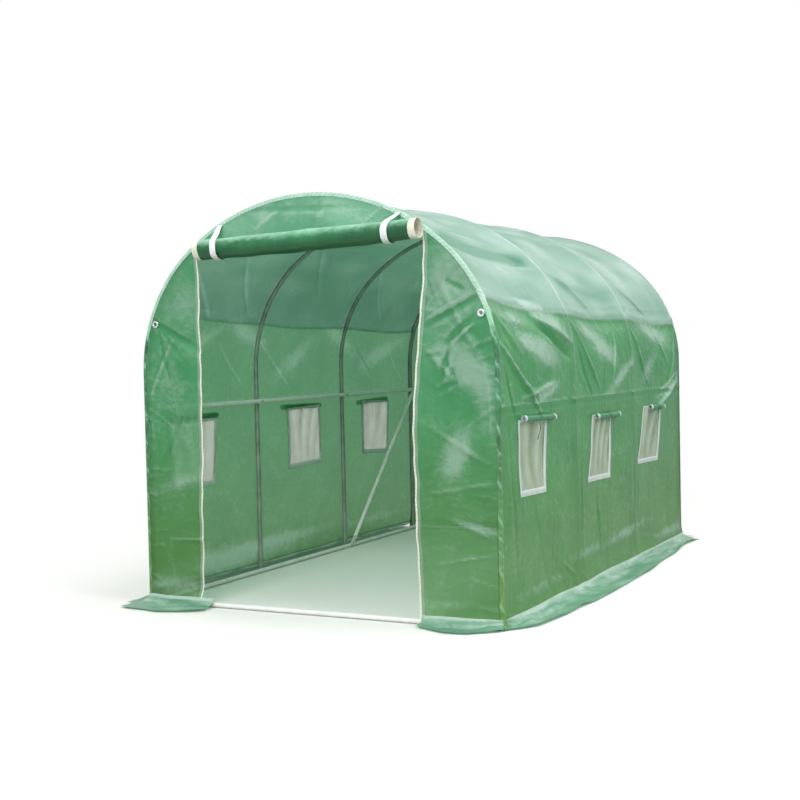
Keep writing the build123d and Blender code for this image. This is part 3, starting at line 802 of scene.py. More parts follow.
def haze_at(y, over):
    """How milky the jacket is at a place, and how far it is painted with highlight or, below 0, with
    shade.
    """
    return read_map(haze, JACKET_BOX, y, over)


# %% [markdown]
# The windows were cut square, but slack cloth has pulled them out of true, each in its own way. The
# pull moves the cloth within its own surface, so one function gives it for every piece near a
# window: it is strongest at the window's corners and dies away around them.

# %% Windows, square as cut and pulled out of true
WINDOW_WIDTH, SILL, HEAD = 0.37, 0.56, 0.90
WINDOWS = (-1.085, -0.06, 0.87)
PULLS = {
    (1, 0): ((-0.024, 0.020), (-0.026, 0.014), (-0.018, 0.030), (-0.066, 0.020)),
    (1, 1): ((0.026, -0.010), (-0.030, -0.012), (-0.074, 0.004), (-0.080, -0.004)),
    (1, 2): ((0.026, -0.006), (0.022, -0.012), (-0.108, 0.024), (-0.060, 0.014)),
    (-1, 0): ((-0.040, 0.0), (0.0, 0.006), (-0.012, 0.012), (-0.024, 0.0)),
    (-1, 1): ((0.105, 0.022), (0.089, 0.030), (0.104, 0.018), (0.104, 0.030)),
    (-1, 2): ((0.105, 0.028), (0.110, 0.018), (0.110, 0.040), (0.085, 0.024)),
}


def pulled(side, y, girth):
    """Where the pulls move a place on the right (1) or left (-1) wall."""
    move_y, move_up = np.zeros_like(y), np.zeros_like(y)
    for (wall, number), corners in PULLS.items():
        if wall != side:
            continue
        left, right = WINDOWS[number] - WINDOW_WIDTH / 2, WINDOWS[number] + WINDOW_WIDTH / 2
        across = np.clip((y - left) / WINDOW_WIDTH, 0, 1)
        up = np.clip((girth - SILL) / (HEAD - SILL), 0, 1)
        away = np.hypot(y - np.clip(y, left, right), girth - np.clip(girth, SILL, HEAD))
        near = 1 - ease(away, 0.24)
        top_left, top_right, low_left, low_right = corners
        for axis, move in ((0, move_y), (1, move_up)):
            top = top_left[axis] * (1 - across) + top_right[axis] * across
            low = low_left[axis] * (1 - across) + low_right[axis] * across
            move += near * (low * (1 - up) + top * up)
    return y + move_y, drifted(y, girth) + move_up


def on_wall(side, y, girth, out=0.0):
    """The point of a wall or its half of the roof at y and girth, out metres off the cloth."""
    y, girth = pulled(side, y, girth)
    x, z, away, up = arch(girth)
    far = stand_at(y, side * (HALF_GIRTH - girth)) + out
    return side * (x + away * far), y, np.maximum(z + up * far, 0.002)


# %% [markdown]
# The jacket's walls stop at the seam, with the windows cut out along lines of their grid, and at the
# foot where the ground flaps are sewn on. The roof is one sheet from seam to seam, which is why the
# real one has no seam on top.

# %% Walls and roof
FOOT = 0.045
SEWN = FOOT + 0.006              # where the ground flaps are sewn on
window_lines = [w + s * WINDOW_WIDTH / 2 for w in WINDOWS for s in (-1, 1)]
length_lines = steps(0.0088, -END, *window_lines, END)
wall_lines = steps(0.0088, FOOT, SILL, HEAD, SEAM_GIRTH)


def in_window(across, up):
    """Whether a place on the flat wall lies in one of its windows."""
    beside = np.min([np.abs(across - w) for w in WINDOWS], axis=0)
    return (beside < WINDOW_WIDTH / 2) & (up > SILL) & (up < HEAD)


for side, word in SIDES:
    def wall_haze(a, b):
        y, girth = pulled(side, a, b)
        return haze_at(y, side * (HALF_GIRTH - girth))

    wall = cloth(length_lines, wall_lines, lambda a, b: on_wall(side, a, b), in_window, INSIDE,
                 haze=wall_haze)
    finish(wall, f"{word}_wall_jacket", JACKET, "sheeting", f"{word}_side_sheet")


def on_roof(y, over):
    """The point of the roof at y and at a distance over from the ridge, the right side positive."""
    side = np.where(over < 0, -1, 1)
    girth = drifted(y, HALF_GIRTH - np.abs(over))
    x, z, away, up = arch(girth)
    far = stand_at(y, side * (HALF_GIRTH - girth))
    return side * (x + away * far), y, z + up * far


roof_half = HALF_GIRTH - SEAM_GIRTH
roof = cloth(steps(0.0105, -END, END), steps(0.0105, -roof_half, 0, roof_half), on_roof,
             outward=INSIDE, haze=haze_at)
finish(roof, "roof_jacket", ROOF, "sheeting", "roof_sheet")

# %% [markdown]
# Each screen hangs a little slack in its window, gathered at the top, so shallow pleats run down
# from there. White tape is folded over all four edges of the opening, so it shows inside as well.
# The screen and its tapes follow the same pulls as the wall, so they stay in their opening.

# %% Screens and their tapes
def pleat_wave(number, side, y, girth):
    """Pleats that run down from the top of one screen, from -1 in a hollow to 1 on a fold."""
    across = (y - WINDOWS[number]) / WINDOW_WIDTH + 0.5
    up = (girth - SILL) / (HEAD - SILL)
    spread = 0.5 + (across - 0.5) * (1.15 - 0.45 * up) + 0.10 * np.sin(2.2 * up + number)
    rim = np.clip(4 * across * (1 - across), 0, 1) ** 0.5 * np.clip(4 * up, 0, 1)
    return rim * np.sin(spread * (17 + 9 * (number == 1)) + 1.7 * number + side) * (0.3 + 0.7 * up)


def screen_out(number, side, y, girth):
    """How far a screen stands out: its pleats, on a slight sag inwards."""
    up = np.clip((girth - SILL) / (HEAD - SILL), 0, 1)
    deep = 0.0075 if number == 1 else 0.0050
    return deep * pleat_wave(number, side, y, girth) - 0.006 * np.sin(np.pi * up)


def folded_tape(side, outer, inner, low, high, upright):
    """A tape folded over an edge of the opening, half outside the wall and half inside it."""
    wide, way = abs(inner - outer), math.copysign(1, inner - outer)

    def place(a, b):
        over = outer + way * (wide - np.abs(wide - a))
        out = 0.0028 * np.clip((wide - a) / 0.003, -1, 1) + 0.0004 * np.sin(300 * (a + b))
        return on_wall(side, over, b, out) if upright else on_wall(side, b, over, out)

    return cloth(steps(0.006, 0, wide, 2 * wide), steps(0.008, low, high), place,
                 outward=INSIDE)


for side, word in SIDES:
    for number, middle in enumerate(WINDOWS):
        left, right = middle - WINDOW_WIDTH / 2, middle + WINDOW_WIDTH / 2
        # each screen also carries its pleat wave, which paints it lighter on the folds and darker in
        # the hollows: painted shading
        screen = cloth(steps(0.006, left, right), steps(0.008, SILL, HEAD),
                       lambda a, b: on_wall(side, a, b, screen_out(number, side, a, b)),
                       outward=INSIDE, haze=lambda a, b: pleat_wave(number, side, a, b))
        finish(screen, f"{word}_screen_{number + 1}", INSECT_MESH, "screen",
               f"{word}_window_screens")
        for edge, *lines, upright in (
            ("front", left - 0.014, left + 0.014, SILL - 0.006, HEAD, True),
            ("rear", right + 0.014, right - 0.014, SILL - 0.006, HEAD, True),
            ("foot", SILL - 0.014, SILL + 0.014, left - 0.014, right + 0.014, False),
            ("head", HEAD + 0.010, HEAD - 0.004, left - 0.010, right + 0.010, False),
        ):
            tape = folded_tape(side, *lines, upright)
            finish(tape, f"{word}_screen_{number + 1}_{edge}_tape",
                   WHITE_TAPE, "tape")

# %% [markdown]
# The two ends have a map of their own. Each end sheet is held all round its outline by the hoop, and
# at the ends of the rails, which press into it and send short creases out. The door's two free edges
# are held by nothing, so they wander.

# %% The end sheets' map: front
END_BOX = (-1.0, 1.0, 0.0, 2.04)
X, Z = np.meshgrid(np.linspace(*END_BOX[:2], 201), np.linspace(*END_BOX[2:], 205), indexing="ij")


def to_rim(x, z):
    """How far a place on an end sheet is from the jacket's outline."""
    x, up = np.abs(x), z - (RIDGE - CROWN_R)
    crown = CROWN_R - np.hypot(x, up)
    shoulder = SHOULDER_R - np.hypot(x - (HALF_WIDTH - SHOULDER_R), z - BEND)
    curved = np.where((np.arctan2(x, up) < HAUNCH) & (up > 0), crown, shoulder)
    return np.where(z < BEND, HALF_WIDTH - x, curved)


rim = to_rim(X, Z)
loose = ease(rim - 0.02, 0.12)
front = loose * (0.007 * swell(X, Z, 0.30, 51) + 0.003 * swell(X, Z, 0.13, 52))
front += 0.030 * (1 - ease(Z, 0.15)) ** 2 * loose
right_side, left_side = X > 0, X < 0
front += fan(X, Z, (-0.89, 1.43), (-28, -50, -75), 0.40, 0.022, -0.008, 54) * left_side
rail_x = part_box("waist_rail_right")[0].x + TUBE_RADIUS
for sign, half in ((1, right_side), (-1, left_side)):
    angles = (100, 158, 214, 266)
    angles = angles if sign > 0 else [180 - angle for angle in angles]
    front += fan(X, Z, (sign * rail_x, WAIST), angles, 0.24, 0.018, 0.006, 55 + sign) * half
print("front map", round(float(front.min()), 4), round(float(front.max()), 4))

# %% The end sheets' map: puckers at the corners and creases
pucker = np.random.default_rng(61)
for sign in (1, -1):
    for height in np.arange(0.09, 1.55, 0.095):
        z0 = height + pucker.uniform(-0.02, 0.02)
        reach, tilt = pucker.uniform(0.06, 0.17), pucker.uniform(-0.05, 0.05)
        front += crease(X, Z, (sign * 0.985, z0), (sign * (0.97 - reach), z0 + tilt), 0.013,
                        pucker.uniform(0.003, 0.006))
for start, end, width, height in (
    ((0.60, 1.36), (0.90, 1.50), 0.030, -0.008), ((0.61, 1.39), (0.88, 1.52), 0.022, 0.006),
    ((0.69, 1.27), (0.87, 1.42), 0.024, -0.009), ((0.72, 1.26), (0.89, 1.40), 0.018, 0.006),
    ((0.85, 1.375), (0.94, 1.415), 0.016, -0.006), ((0.68, 1.10), (0.74, 1.30), 0.020, -0.008),
    ((0.71, 1.10), (0.77, 1.28), 0.016, 0.005), ((0.78, 1.09), (0.72, 1.21), 0.016, -0.006),
    ((0.61, 1.23), (0.71, 1.238), 0.014, -0.004), ((0.65, 1.06), (0.78, 1.12), 0.018, -0.006),
    ((0.60, 1.445), (0.72, 1.432), 0.016, 0.004), ((0.72, 1.575), (0.82, 1.525), 0.022, -0.007),
    ((0.84, 1.27), (0.95, 1.302), 0.014, 0.005), ((0.61, 1.61), (0.67, 1.48), 0.018, -0.004),
    ((-0.94, 1.44), (-0.60, 1.27), 0.030, -0.009), ((-0.78, 1.36), (-0.95, 1.02), 0.020, 0.006),
    ((-0.74, 0.97), (-0.90, 0.66), 0.026, -0.007), ((-0.96, 0.69), (-0.78, 0.685), 0.013, 0.005),
    ((-0.84, 0.335), (-0.61, 0.34), 0.015, 0.006), ((-0.96, 0.30), (-0.87, 0.31), 0.012, 0.005),
    ((0.66, 1.62), (0.90, 1.20), 0.030, 0.006), ((0.58, 1.30), (0.83, 1.06), 0.026, 0.005),
    ((0.62, 0.92), (0.92, 0.74), 0.022, 0.006), ((0.60, 0.60), (0.95, 0.66), 0.020, 0.005),
    ((0.70, 0.50), (0.96, 0.40), 0.014, 0.005), ((0.62, 0.28), (0.95, 0.34), 0.015, 0.005),
    ((-0.45, 1.96), (0.30, 1.93), 0.020, -0.006), ((-0.30, 1.84), (-0.12, 1.97), 0.030, 0.005),
    ((0.05, 1.84), (0.12, 1.98), 0.030, 0.004), ((0.30, 1.84), (0.42, 1.93), 0.024, 0.005),
):
    front += crease(X, Z, start, end, width, 1.8 * height)
# crumples, thickest on the upper right: how many, where, their seed and how tall
for scattered in ((90, (0.55, 0.98, 1.0, 1.75), 62, 0.0022), (40, (0.55, 0.98, 0.1, 1.0), 63, 0.0014),
                  (70, (-0.98, -0.55, 0.2, 1.75), 64, 0.0017), (34, (-0.6, 0.6, 1.8, 2.0), 65, 0.0014)):
    front += loose * crumple(X, Z, *scattered)

# %% The end sheets' map: rear, and clear of the steel
rear = loose * (0.008 * swell(X, Z, 0.36, 71) + 0.003 * swell(X, Z, 0.14, 72))
rear += 0.030 * (1 - ease(Z, 0.15)) ** 2 * loose
rear += loose * crumple(X, Z, 150, (-0.95, 0.95, 0.1, 1.9), 73, 0.0022)
rear += loose * crumple(X, Z, 30, (-0.8, 0.8, 0.9, 1.9), 74, 0.006, 1.2, (0.3, 0.7))
for sign in (1, -1):
    rear += fan(X, Z, (sign * rail_x, WAIST), [90 + sign * a for a in (5, 30, 60, 90, 120, 150)],
                0.26, 0.018, 0.006, 75 + sign)
for field in (front, rear):
    field[:] = np.maximum(field, -0.03)
    field[:] = clear_of_tube(field, rim - TUBE_INSET, 0.0004)
    for x0, z0 in ((rail_x, WAIST), (-rail_x, WAIST), (0.0, RIDGE - 0.04)):
        near = np.exp(-(((X - x0) ** 2 + (Z - z0) ** 2) / 0.02**2))
        field[:] = np.maximum(field, -0.03 * (1 - near) + 0.003 * near)
    field *= ease(rim, 0.012)


# %% The end sheets' milk and painted shading
FRONT_MIST_AND_SHEEN = (
    (0.80, 1.19, 0.17, 0.085, -0.6, 0.75), (0.76, 0.78, 0.06, 0.13, -0.4, 0.75),
    (0.87, 0.455, 0.10, 0.012, -0.3, 0.8), (0.74, 1.55, 0.18, 0.20, 0.0, 0.55),
    (0.90, 1.05, 0.06, 0.16, 0.2, 0.35), (0.70, 0.10, 0.13, 0.02, 0.1, 0.3),
    (-0.82, 1.10, 0.12, 0.20, 0.4, 0.30), (-0.74, 1.50, 0.12, 0.14, -0.5, 0.35),
    (-0.78, 0.62, 0.16, 0.035, 0.3, 0.4), (-0.80, 0.10, 0.17, 0.05, 0.0, 0.5),
    (0.0, 1.93, 0.5, 0.04, 0.0, 0.18), (-0.25, 1.90, 0.04, 0.10, -0.4, 0.25),
    (0.28, 1.88, 0.20, 0.03, -0.5, 0.2),
)
REAR_MIST_AND_SHEEN = ((-0.4, 1.55, 0.30, 0.08, 0.5, 0.5), (0.35, 1.40, 0.34, 0.07, -0.4, 0.5),
             (0.1, 0.95, 0.40, 0.06, 0.2, 0.4), (0.0, 0.10, 0.90, 0.05, 0.0, 0.5),
             (-0.5, 0.60, 0.20, 0.10, 0.6, 0.35), (0.6, 0.55, 0.22, 0.08, -0.7, 0.35))
# pale ridges, partly whitened and partly painted highlight, painted shade in the furrows, and pale
# patches of mist and painted sheen
front_haze = creases_of(front) + mist_and_sheen(X, Z, FRONT_MIST_AND_SHEEN)
rear_haze = creases_of(rear) + mist_and_sheen(X, Z, REAR_MIST_AND_SHEEN)


def end_haze(way, x, z):
    """How milky the front (-1) or rear (1) end sheet is at a place, and how far it is painted with
    highlight or, below 0, with shade.
    """
    return read_map(front_haze if way < 0 else rear_haze, END_BOX, x, z)


def on_end(way, x, z, out=0.0):
    """The point of the front (-1) or rear (1) end sheet at x and z, out metres off the cloth."""
    far = read_map(front if way < 0 else rear, END_BOX, x, z)
    return x, way * (END + far + out), z


# %% [markdown]
# The front has a header over the doorway and a narrow panel on each side of it. Each is cut to the
# arch's outline, so its grid runs between two curves, and its UV map holds the true flat place.
# A round hole is left for each eyelet: the grid's points near it are pushed out to a clean circle.

# %% Where the door's edges hang
EDGE_KNOTS = {
    1: ((0, 0.20, 0.39, 0.575, 0.758, 0.942, 1.124, 1.351, 1.532, 1.757),
        (0.580, 0.565, 0.554, 0.549, 0.543, 0.552, 0.567, 0.592, 0.602, 0.617)),
    -1: ((0, 0.09, 0.25, 0.42, 0.58, 0.76, 0.94, 1.11, 1.30, 1.48, 1.71),
         (0.648, 0.641, 0.638, 0.628, 0.619, 0.619, 0.621, 0.626, 0.628, 0.628, 0.619)),
}
eyelet_low, eyelet_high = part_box("front_eyelets")
EYELET_RADIUS = (eyelet_high.z - eyelet_low.z) / 2
EYELET_X = eyelet_high.x - EYELET_RADIUS
EYELET_Z = (eyelet_low.z + eyelet_high.z) / 2
HOLE = 0.014                    # radius of the hole in the cloth, under the ring


def door_edge(side, z):
    """How far from the middle a panel's free edge is at a height."""
    knots, places = EDGE_KNOTS[side]
    return np.interp(z, knots, places) + 0.0015 * np.sin(41 * z)


def on_panel(side, across, z, out=0.0):
    """The point of a front panel, its free edge off the plane in slow waves that die at the hoop."""
    x, y, z = on_end(-1, side * across, z, out)
    free = 1 - ease(across - door_edge(side, z), 0.14)
    free = free * ease(to_rim(x, z) - 0.03, 0.04)
    return x, y - free * (0.010 * np.sin(5.2 * z + 2 * side) + 0.004 * np.sin(15 * z)), z


# %% Front panels
def panel_place(side, part, z):
    """A place across a panel, from its free edge at 0 to the arch at 1."""
    edge = door_edge(side, z)
    return edge + part * (arch_half_width(z) - edge)


def round_the_eyelet(side, x, z):
    """Push what lies under the ring out to the edge of its hole."""
    dx, dz = side * x - EYELET_X, z - EYELET_Z
    off = np.maximum(np.hypot(dx, dz), 1e-6)
    push = np.where((off < HOLE) & (off > 0.004), HOLE / off, 1.0)
    return side * (EYELET_X + dx * push), EYELET_Z + dz * push


panel_rows = steps(0.0105, FOOT, DOOR_TOP)
panel_columns = np.linspace(0, 1, 40)
for side, word in SIDES:
    def place(a, b):
        x, y, z = on_panel(side, panel_place(side, a, b), b)
        x, z = round_the_eyelet(side, x, z)
        return x, y, z

    panel = cloth(panel_columns, panel_rows, place, outward=INSIDE,
                  haze=lambda a, b: end_haze(-1, side * panel_place(side, a, b), b),
                  gone=lambda a, b: np.hypot(a - EYELET_X, b - EYELET_Z) < 0.006,
                  flat_place=lambda a, b: (panel_place(side, a, b), b))
    finish(panel, f"front_{word}_cloth", PANEL, "sheeting", f"front_{word}_panel")

# %% Header and rear wall
def end_sheet(way, half, foot, columns, rows, name, material, node):
    """A sheet from the height foot up to the arch, its places across and its heights there."""
    across = half * np.sin(np.linspace(-math.pi / 2, math.pi / 2, columns))

    def up(a, b):
        return foot + b * (arch_height(a) - foot)

    sheet = cloth(across, np.linspace(0, 1, rows), lambda a, b: on_end(way, a, up(a, b)),
                  outward=INSIDE, haze=lambda a, b: end_haze(way, a, up(a, b)),
                  flat_place=lambda a, b: (a, up(a, b)))
    return finish(sheet, name, material, "sheeting", node), across, arch_height(across) - foot


header, across, heights = end_sheet(-1, 0.662, DOOR_TOP, 120, 24,
                                    "front_header_cloth", HEADER, "front_header")
rear_wall, across, heights = end_sheet(1, HALF_WIDTH, FOOT, 190, 170,
                                       "rear_wall_cloth", JACKET, "rear_end_sheet")

# %% [markdown]
# Where the jacket turns the corner onto an end sheet, the two are joined by a narrow binding that
# wraps the edge. Over the arch it is paled by the sun. Down the legs it keeps its deep green and is
# drawn up in small puckers, whose pale marks are partly whitened film and partly painted highlight.
# A half-clear white tape covers each seam between wall and roof, wider outside than in. The one
# inside is partly a seam tape and partly a painted highlight: the bright line the seam catches
# inside.

# %% Bindings and seam welts
BINDING, BINDING_LIFT = 0.016, 0.0018


def on_corner(way, a, over):
    """The binding's point: a from -BINDING, on the jacket, to BINDING, on the end sheet."""
    side = np.where(over < 0, -1, 1)
    x, z, out_x, out_z = arch(HALF_GIRTH - np.abs(over))
    y = np.clip(END + np.minimum(a, 0), 0, END)
    far = np.where(a <= 0, stand_at(way * y, over) + BINDING_LIFT, -a)
    ripple = 0.0012 * np.sin(over * 66) * (np.abs(over) > 1.2)
    deep = np.where(a <= 0, y, END + BINDING_LIFT + ripple)
    return side * (x + out_x * far), way * deep, z + out_z * far


def corner_haze(a, over):
    """Pale puckers about every 0.1 m, each a few centimetres long: partly whitened film and partly
    painted highlight.
    """
    fleck = np.clip(np.sin(over * 64 + 2 * np.sin(over * 17) + 90 * a) - 0.72, 0, None)
    return 1.3 * fleck + 0.1 * (a > 0) + 1.2 * (1 - ease(np.abs(over) - turn, 0.12))


turn = HALF_GIRTH - 1.44
binding_lines = steps(0.004, -BINDING, 0, BINDING)
for way, word in ((-1, "front"), (1, "rear")):
    for name, low, high, finish_with in (
        ("arch", -turn, turn, HEM_TAPE),
        ("right_corner", turn, HALF_GIRTH - 0.01, WOUND),
        ("left_corner", -HALF_GIRTH + 0.01, -turn, WOUND),
    ):
        strip = cloth(binding_lines, steps(0.009, low, high), lambda a, b: on_corner(way, a, b),
                      outward=INSIDE, haze=corner_haze)
        finish(strip, f"{word}_{name}_binding", finish_with, "sheeting", angle=40)
seam_lines = steps(0.012, -END + 0.012, END - 0.012)
for side, word in SIDES:
    # the inside tape is partly a seam tape and partly a painted highlight, the bright line the seam
    # catches inside
    for name, half, lift in (("seam_welt", 0.009, lambda b: 0.0010 * (1 - (b / 0.0095) ** 2)),
                             ("inner_seam_highlight_tape", 0.006, lambda b: -0.0022)):
        strip = cloth(seam_lines, steps(0.004, -half, half),
                      lambda a, b: on_wall(side, a, SEAM_GIRTH + b, lift(b)), outward=INSIDE)
        finish(strip, f"{word}_{name}", SHEER_TAPE, "tape", angle=40)

# %% [markdown]
# A zip closes the door down both sides. With the door rolled up, its half on each panel shows: a
# cream edge with the teeth, and beside it the woven tape it is sewn on with.

# %% Zips on the door's edges
for side, word in SIDES:
    for name, near, far, lift, finish_with in (("zip_teeth", -0.003, 0.006, 0.0026, ZIP_TAPE),
                                               ("zip_tape", 0.005, 0.020, 0.0014, SHEER_TAPE)):
        strip = cloth(steps(0.004, near, far), steps(0.006, FOOT * 0.4, DOOR_TOP),
                      lambda a, b: on_panel(side, door_edge(side, b) + a, b,
                                            lift + 0.0006 * np.sin(b * 420)),
                      outward=INSIDE)
        finish(strip, f"{word}_{name}", finish_with, "tape", f"{word}_door_zip", angle=40)

# %% [markdown]
# A flap of the same sheeting, left pale, runs round the foot of every wall. It bends off the wall
# 5 cm above the floor and lies out on it, where earth or stones would hold it down. Each is swept
# from the line where it is sewn on to its own uneven outer edge, through a soft bend.

# %% Ground flaps
def ground_flap(name, node, lines, sewn, edge, seed):
    """A flap from its sewn line out to its edge, both given along the same lines."""
    def place(a, b):
        x0, y0, z0 = sewn(a)
        x1, y1 = edge(a)
        ripple = 0.5 + 0.5 * swell(a, b, 0.16, seed) * np.clip(3 * b, 0, 1)
        z1 = 0.004 + 0.018 * ripple * b
        mx, my, mz = x0 + 0.10 * (x1 - x0), y0 + 0.10 * (y1 - y0), 0.004 + 0.012 * ripple
        p, q, r = (1 - b) ** 2, 2 * b * (1 - b), b**2
        fold = 0.009 * swell(a, b * 0.15, 0.05, seed + 1, 1.8) * np.clip(4 * b * (1 - b), 0, 1)
        return p * x0 + q * mx + r * x1, p * y0 + q * my + r * y1, p * z0 + q * mz + r * z1 + fold

    span = float(np.hypot(*[e - s for e, s in zip(edge(lines), sewn(lines)[:2])]).mean())
    # each flap is made paler along its bend, partly whitened film and partly painted highlight, with
    # soft pale patches of painted sheen
    flap = cloth(lines, np.linspace(0, 1, 26), place, outward=(0, 0, -1.5),
                 flat_place=lambda a, b: (a, b * span),
                 haze=lambda a, b: 0.1 + 0.7 * (1 - ease(b, 0.4)) + 0.35 * swell(a, b, 0.2, seed + 2))
    finish(flap, name, SKIRT, "sheeting", node)


side_edges = {1: ((-1.515, -1.45, -1.37, -1.1, -0.8, -0.16, 0.31, 0.85, 1.2, 1.515),
                  (0.985, 1.040, 1.086, 1.112, 1.133, 1.142, 1.126, 1.093, 1.068, 1.085)),
              -1: ((-1.515, -1.2, -0.7, -0.2, 0.4, 0.9, 1.3, 1.515),
                   (1.066, 1.098, 1.126, 1.118, 1.133, 1.112, 1.120, 1.090))}
side_ends = {1: (-1.510, 1.587), -1: (-1.600, 1.580)}
for side, word in SIDES:
    knots, places = side_edges[side]
    first, last = side_ends[side]
    ground_flap(
        f"{word}_ground_flap", f"{word}_skirt", steps(0.014, -END, END),
        lambda a: on_wall(side, a, np.full_like(a, SEWN), 0.002),
        lambda a: (side * (np.interp(a, knots, places) + 0.004 * np.sin(9 * a)),
                   first + (a + END) / (2 * END) * (last - first)),
        80 + side)

# %% Ground flaps at the ends
for side, word, knots, places in (
    (1, "right", (0.56, 0.65, 0.73, 0.85, 0.93, 0.975), (1.572, 1.622, 1.655, 1.645, 1.575, 1.528)),
    (-1, "left", (0.56, 0.65, 0.80, 0.93, 0.975), (1.620, 1.680, 1.715, 1.695, 1.665)),
):
    ground_flap(
        f"front_{word}_ground_flap", f"front_{word}_skirt", steps(0.012, 0.575, HALF_WIDTH),
        lambda a: on_panel(side, a, np.full_like(a, SEWN), 0.002),
        lambda a: (side * (a + ease(a - 0.85, 0.12) * (0.07 if side < 0 else 0.006)),
                   -np.interp(a, knots, places) + 0.003 * np.sin(30 * a)),
        90 + side)
ground_flap("rear_ground_flap", "rear_skirt", steps(0.014, -HALF_WIDTH, HALF_WIDTH),
            lambda a: on_end(1, a, np.full_like(a, SEWN), 0.002),
            lambda a: (a * 1.06, 1.652 + 0.006 * np.sin(7 * a) + 0.004 * np.sin(19 * a)),
            95)

# %% [markdown]
# The door is one long sheet wound up on itself and tied under the header. It is made as just that:
# a spiral of just over seven turns, as long as the doorway is high, so its ends show it. The zip's
# other half runs down each side of the sheet, so both ends of the roll are cream. A roll of soft
# sheeting is thicker in the middle and sags, and this one hangs lower on the left.

# %% The door roll
roll_low, roll_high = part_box("door_roll")
ROLL_Y, ROLL_Z = (roll_low.y + roll_high.y) / 2, (roll_low.z + roll_high.z) / 2
ROLL_RADIUS = (roll_high.z - roll_low.z) / 2
ROLL_HALF = (roll_high.x - roll_low.x) / 2 - 0.028
ROLL_X = 0.014


def wind(length, turns, core, radius):
    """The turns wound at a length of sheet, for a spiral that grows from core to radius."""
    grow = (radius - core) / turns
    whole = core * turns + grow * turns**2 / 2
    share = np.clip(length / (2 * math.pi * whole), 0, 1)
    return (-core + np.sqrt(core**2 + 2 * grow * share * whole)) / grow


def spiral_length(turns, core, radius):
    """How much sheet a spiral holds."""
    return 2 * math.pi * turns * (core + radius) / 2


TURNS, CORE = 7.25, 0.030
door_length = spiral_length(TURNS, CORE, ROLL_RADIUS)
RUMPLE_BOX = (-0.7, 0.7, 0.0, 2 * math.pi)
RX, RA = np.meshgrid(np.linspace(*RUMPLE_BOX[:2], 141), np.linspace(*RUMPLE_BOX[2:], 73),
                     indexing="ij")
rumple = 0.0036 * swell(RX, RA, 0.9, 101, 0.14) + 0.0018 * swell(RX, RA, 0.5, 102, 0.1)
rumple += crumple(RX, RA / 8, 50, (-0.62, 0.62, 0.0, 0.785), 103, 0.0024, 0.25, (0.08, 0.3))
rumple *= np.clip(np.sin(RA / 2), 0, 1) ** 0.4
# pale creases, partly whitened and partly painted highlight, a painted highlight along the roll's top
# and painted shade underneath
roll_haze = 0.5 * creases_of(rumple) + 0.8 * np.clip(np.sin(RA + 0.2), -0.6, None)


def roll_axis(x):
    """Height of the roll's middle, sagging and lower on the left."""
    return ROLL_Z + 0.002 + 0.028 * x - 0.006 * (1 - (x / ROLL_HALF) ** 2)


def on_roll(x, length, out=0.0):
    """The point of the wound sheet at x and at a length along the sheet from its core."""
    turns = wind(length, TURNS, CORE, ROLL_RADIUS)
    angle = 2 * math.pi * (turns - TURNS)
    radius = CORE + (ROLL_RADIUS - CORE) * turns / TURNS
    fat = 1.02 + 0.09 * (1 - (x / ROLL_HALF) ** 2)
    far = radius * fat + read_map(rumple, RUMPLE_BOX, x, np.mod(angle, 2 * math.pi)) * turns / TURNS
    recess = 0.045 * (1 - ease(turns, 0.7 * TURNS))
    end = x * (1 + (0.010 * np.sin(2.3 * turns) - recess) * np.abs(x / ROLL_HALF) ** 6)
    far = far + out
    back = np.minimum(ROLL_Y + far * np.cos(angle), -END - 0.0015)
    return end + ROLL_X, back, roll_axis(x) + far * np.sin(angle)


roll_rows = steps(0.0105, 0, door_length)
hem = 0.030


def wound_haze(x, length):
    """Pale creases on the door roll, partly whitened film and partly painted highlight, with a painted
    highlight along its top and painted shade underneath.
    """
    turned = np.mod(2 * math.pi * (wind(length, TURNS, CORE, ROLL_RADIUS) - TURNS), 2 * math.pi)
    return read_map(roll_haze, RUMPLE_BOX, x, turned)


door = cloth(steps(0.016, -ROLL_HALF + hem, ROLL_HALF - hem), roll_rows, on_roll, haze=wound_haze)
finish(door, "door_roll_cloth", WOUND, "sheeting", "door_roll")
for word, low, high in (("left", -ROLL_HALF, -ROLL_HALF + hem), ("right", ROLL_HALF - hem, ROLL_HALF)):
    strip = cloth(steps(0.005, low, high), roll_rows, lambda a, b: on_roll(a, b, 0.0010))
    finish(strip, f"door_roll_{word}_zip_tape", ZIP_TAPE, "tape")
print("door sheet wound up:", round(door_length, 3), "m in", TURNS, "turns")

# %% [markdown]
# Two white ties hold the roll. Each is a flat tape sewn to the header: it comes down slanting,
# goes round under the roll and up behind it. It is a strip swept along that path, a little narrower
# where it is sewn on, so the pull shows.

# %% Ties
TIE_WIDTH = 0.034


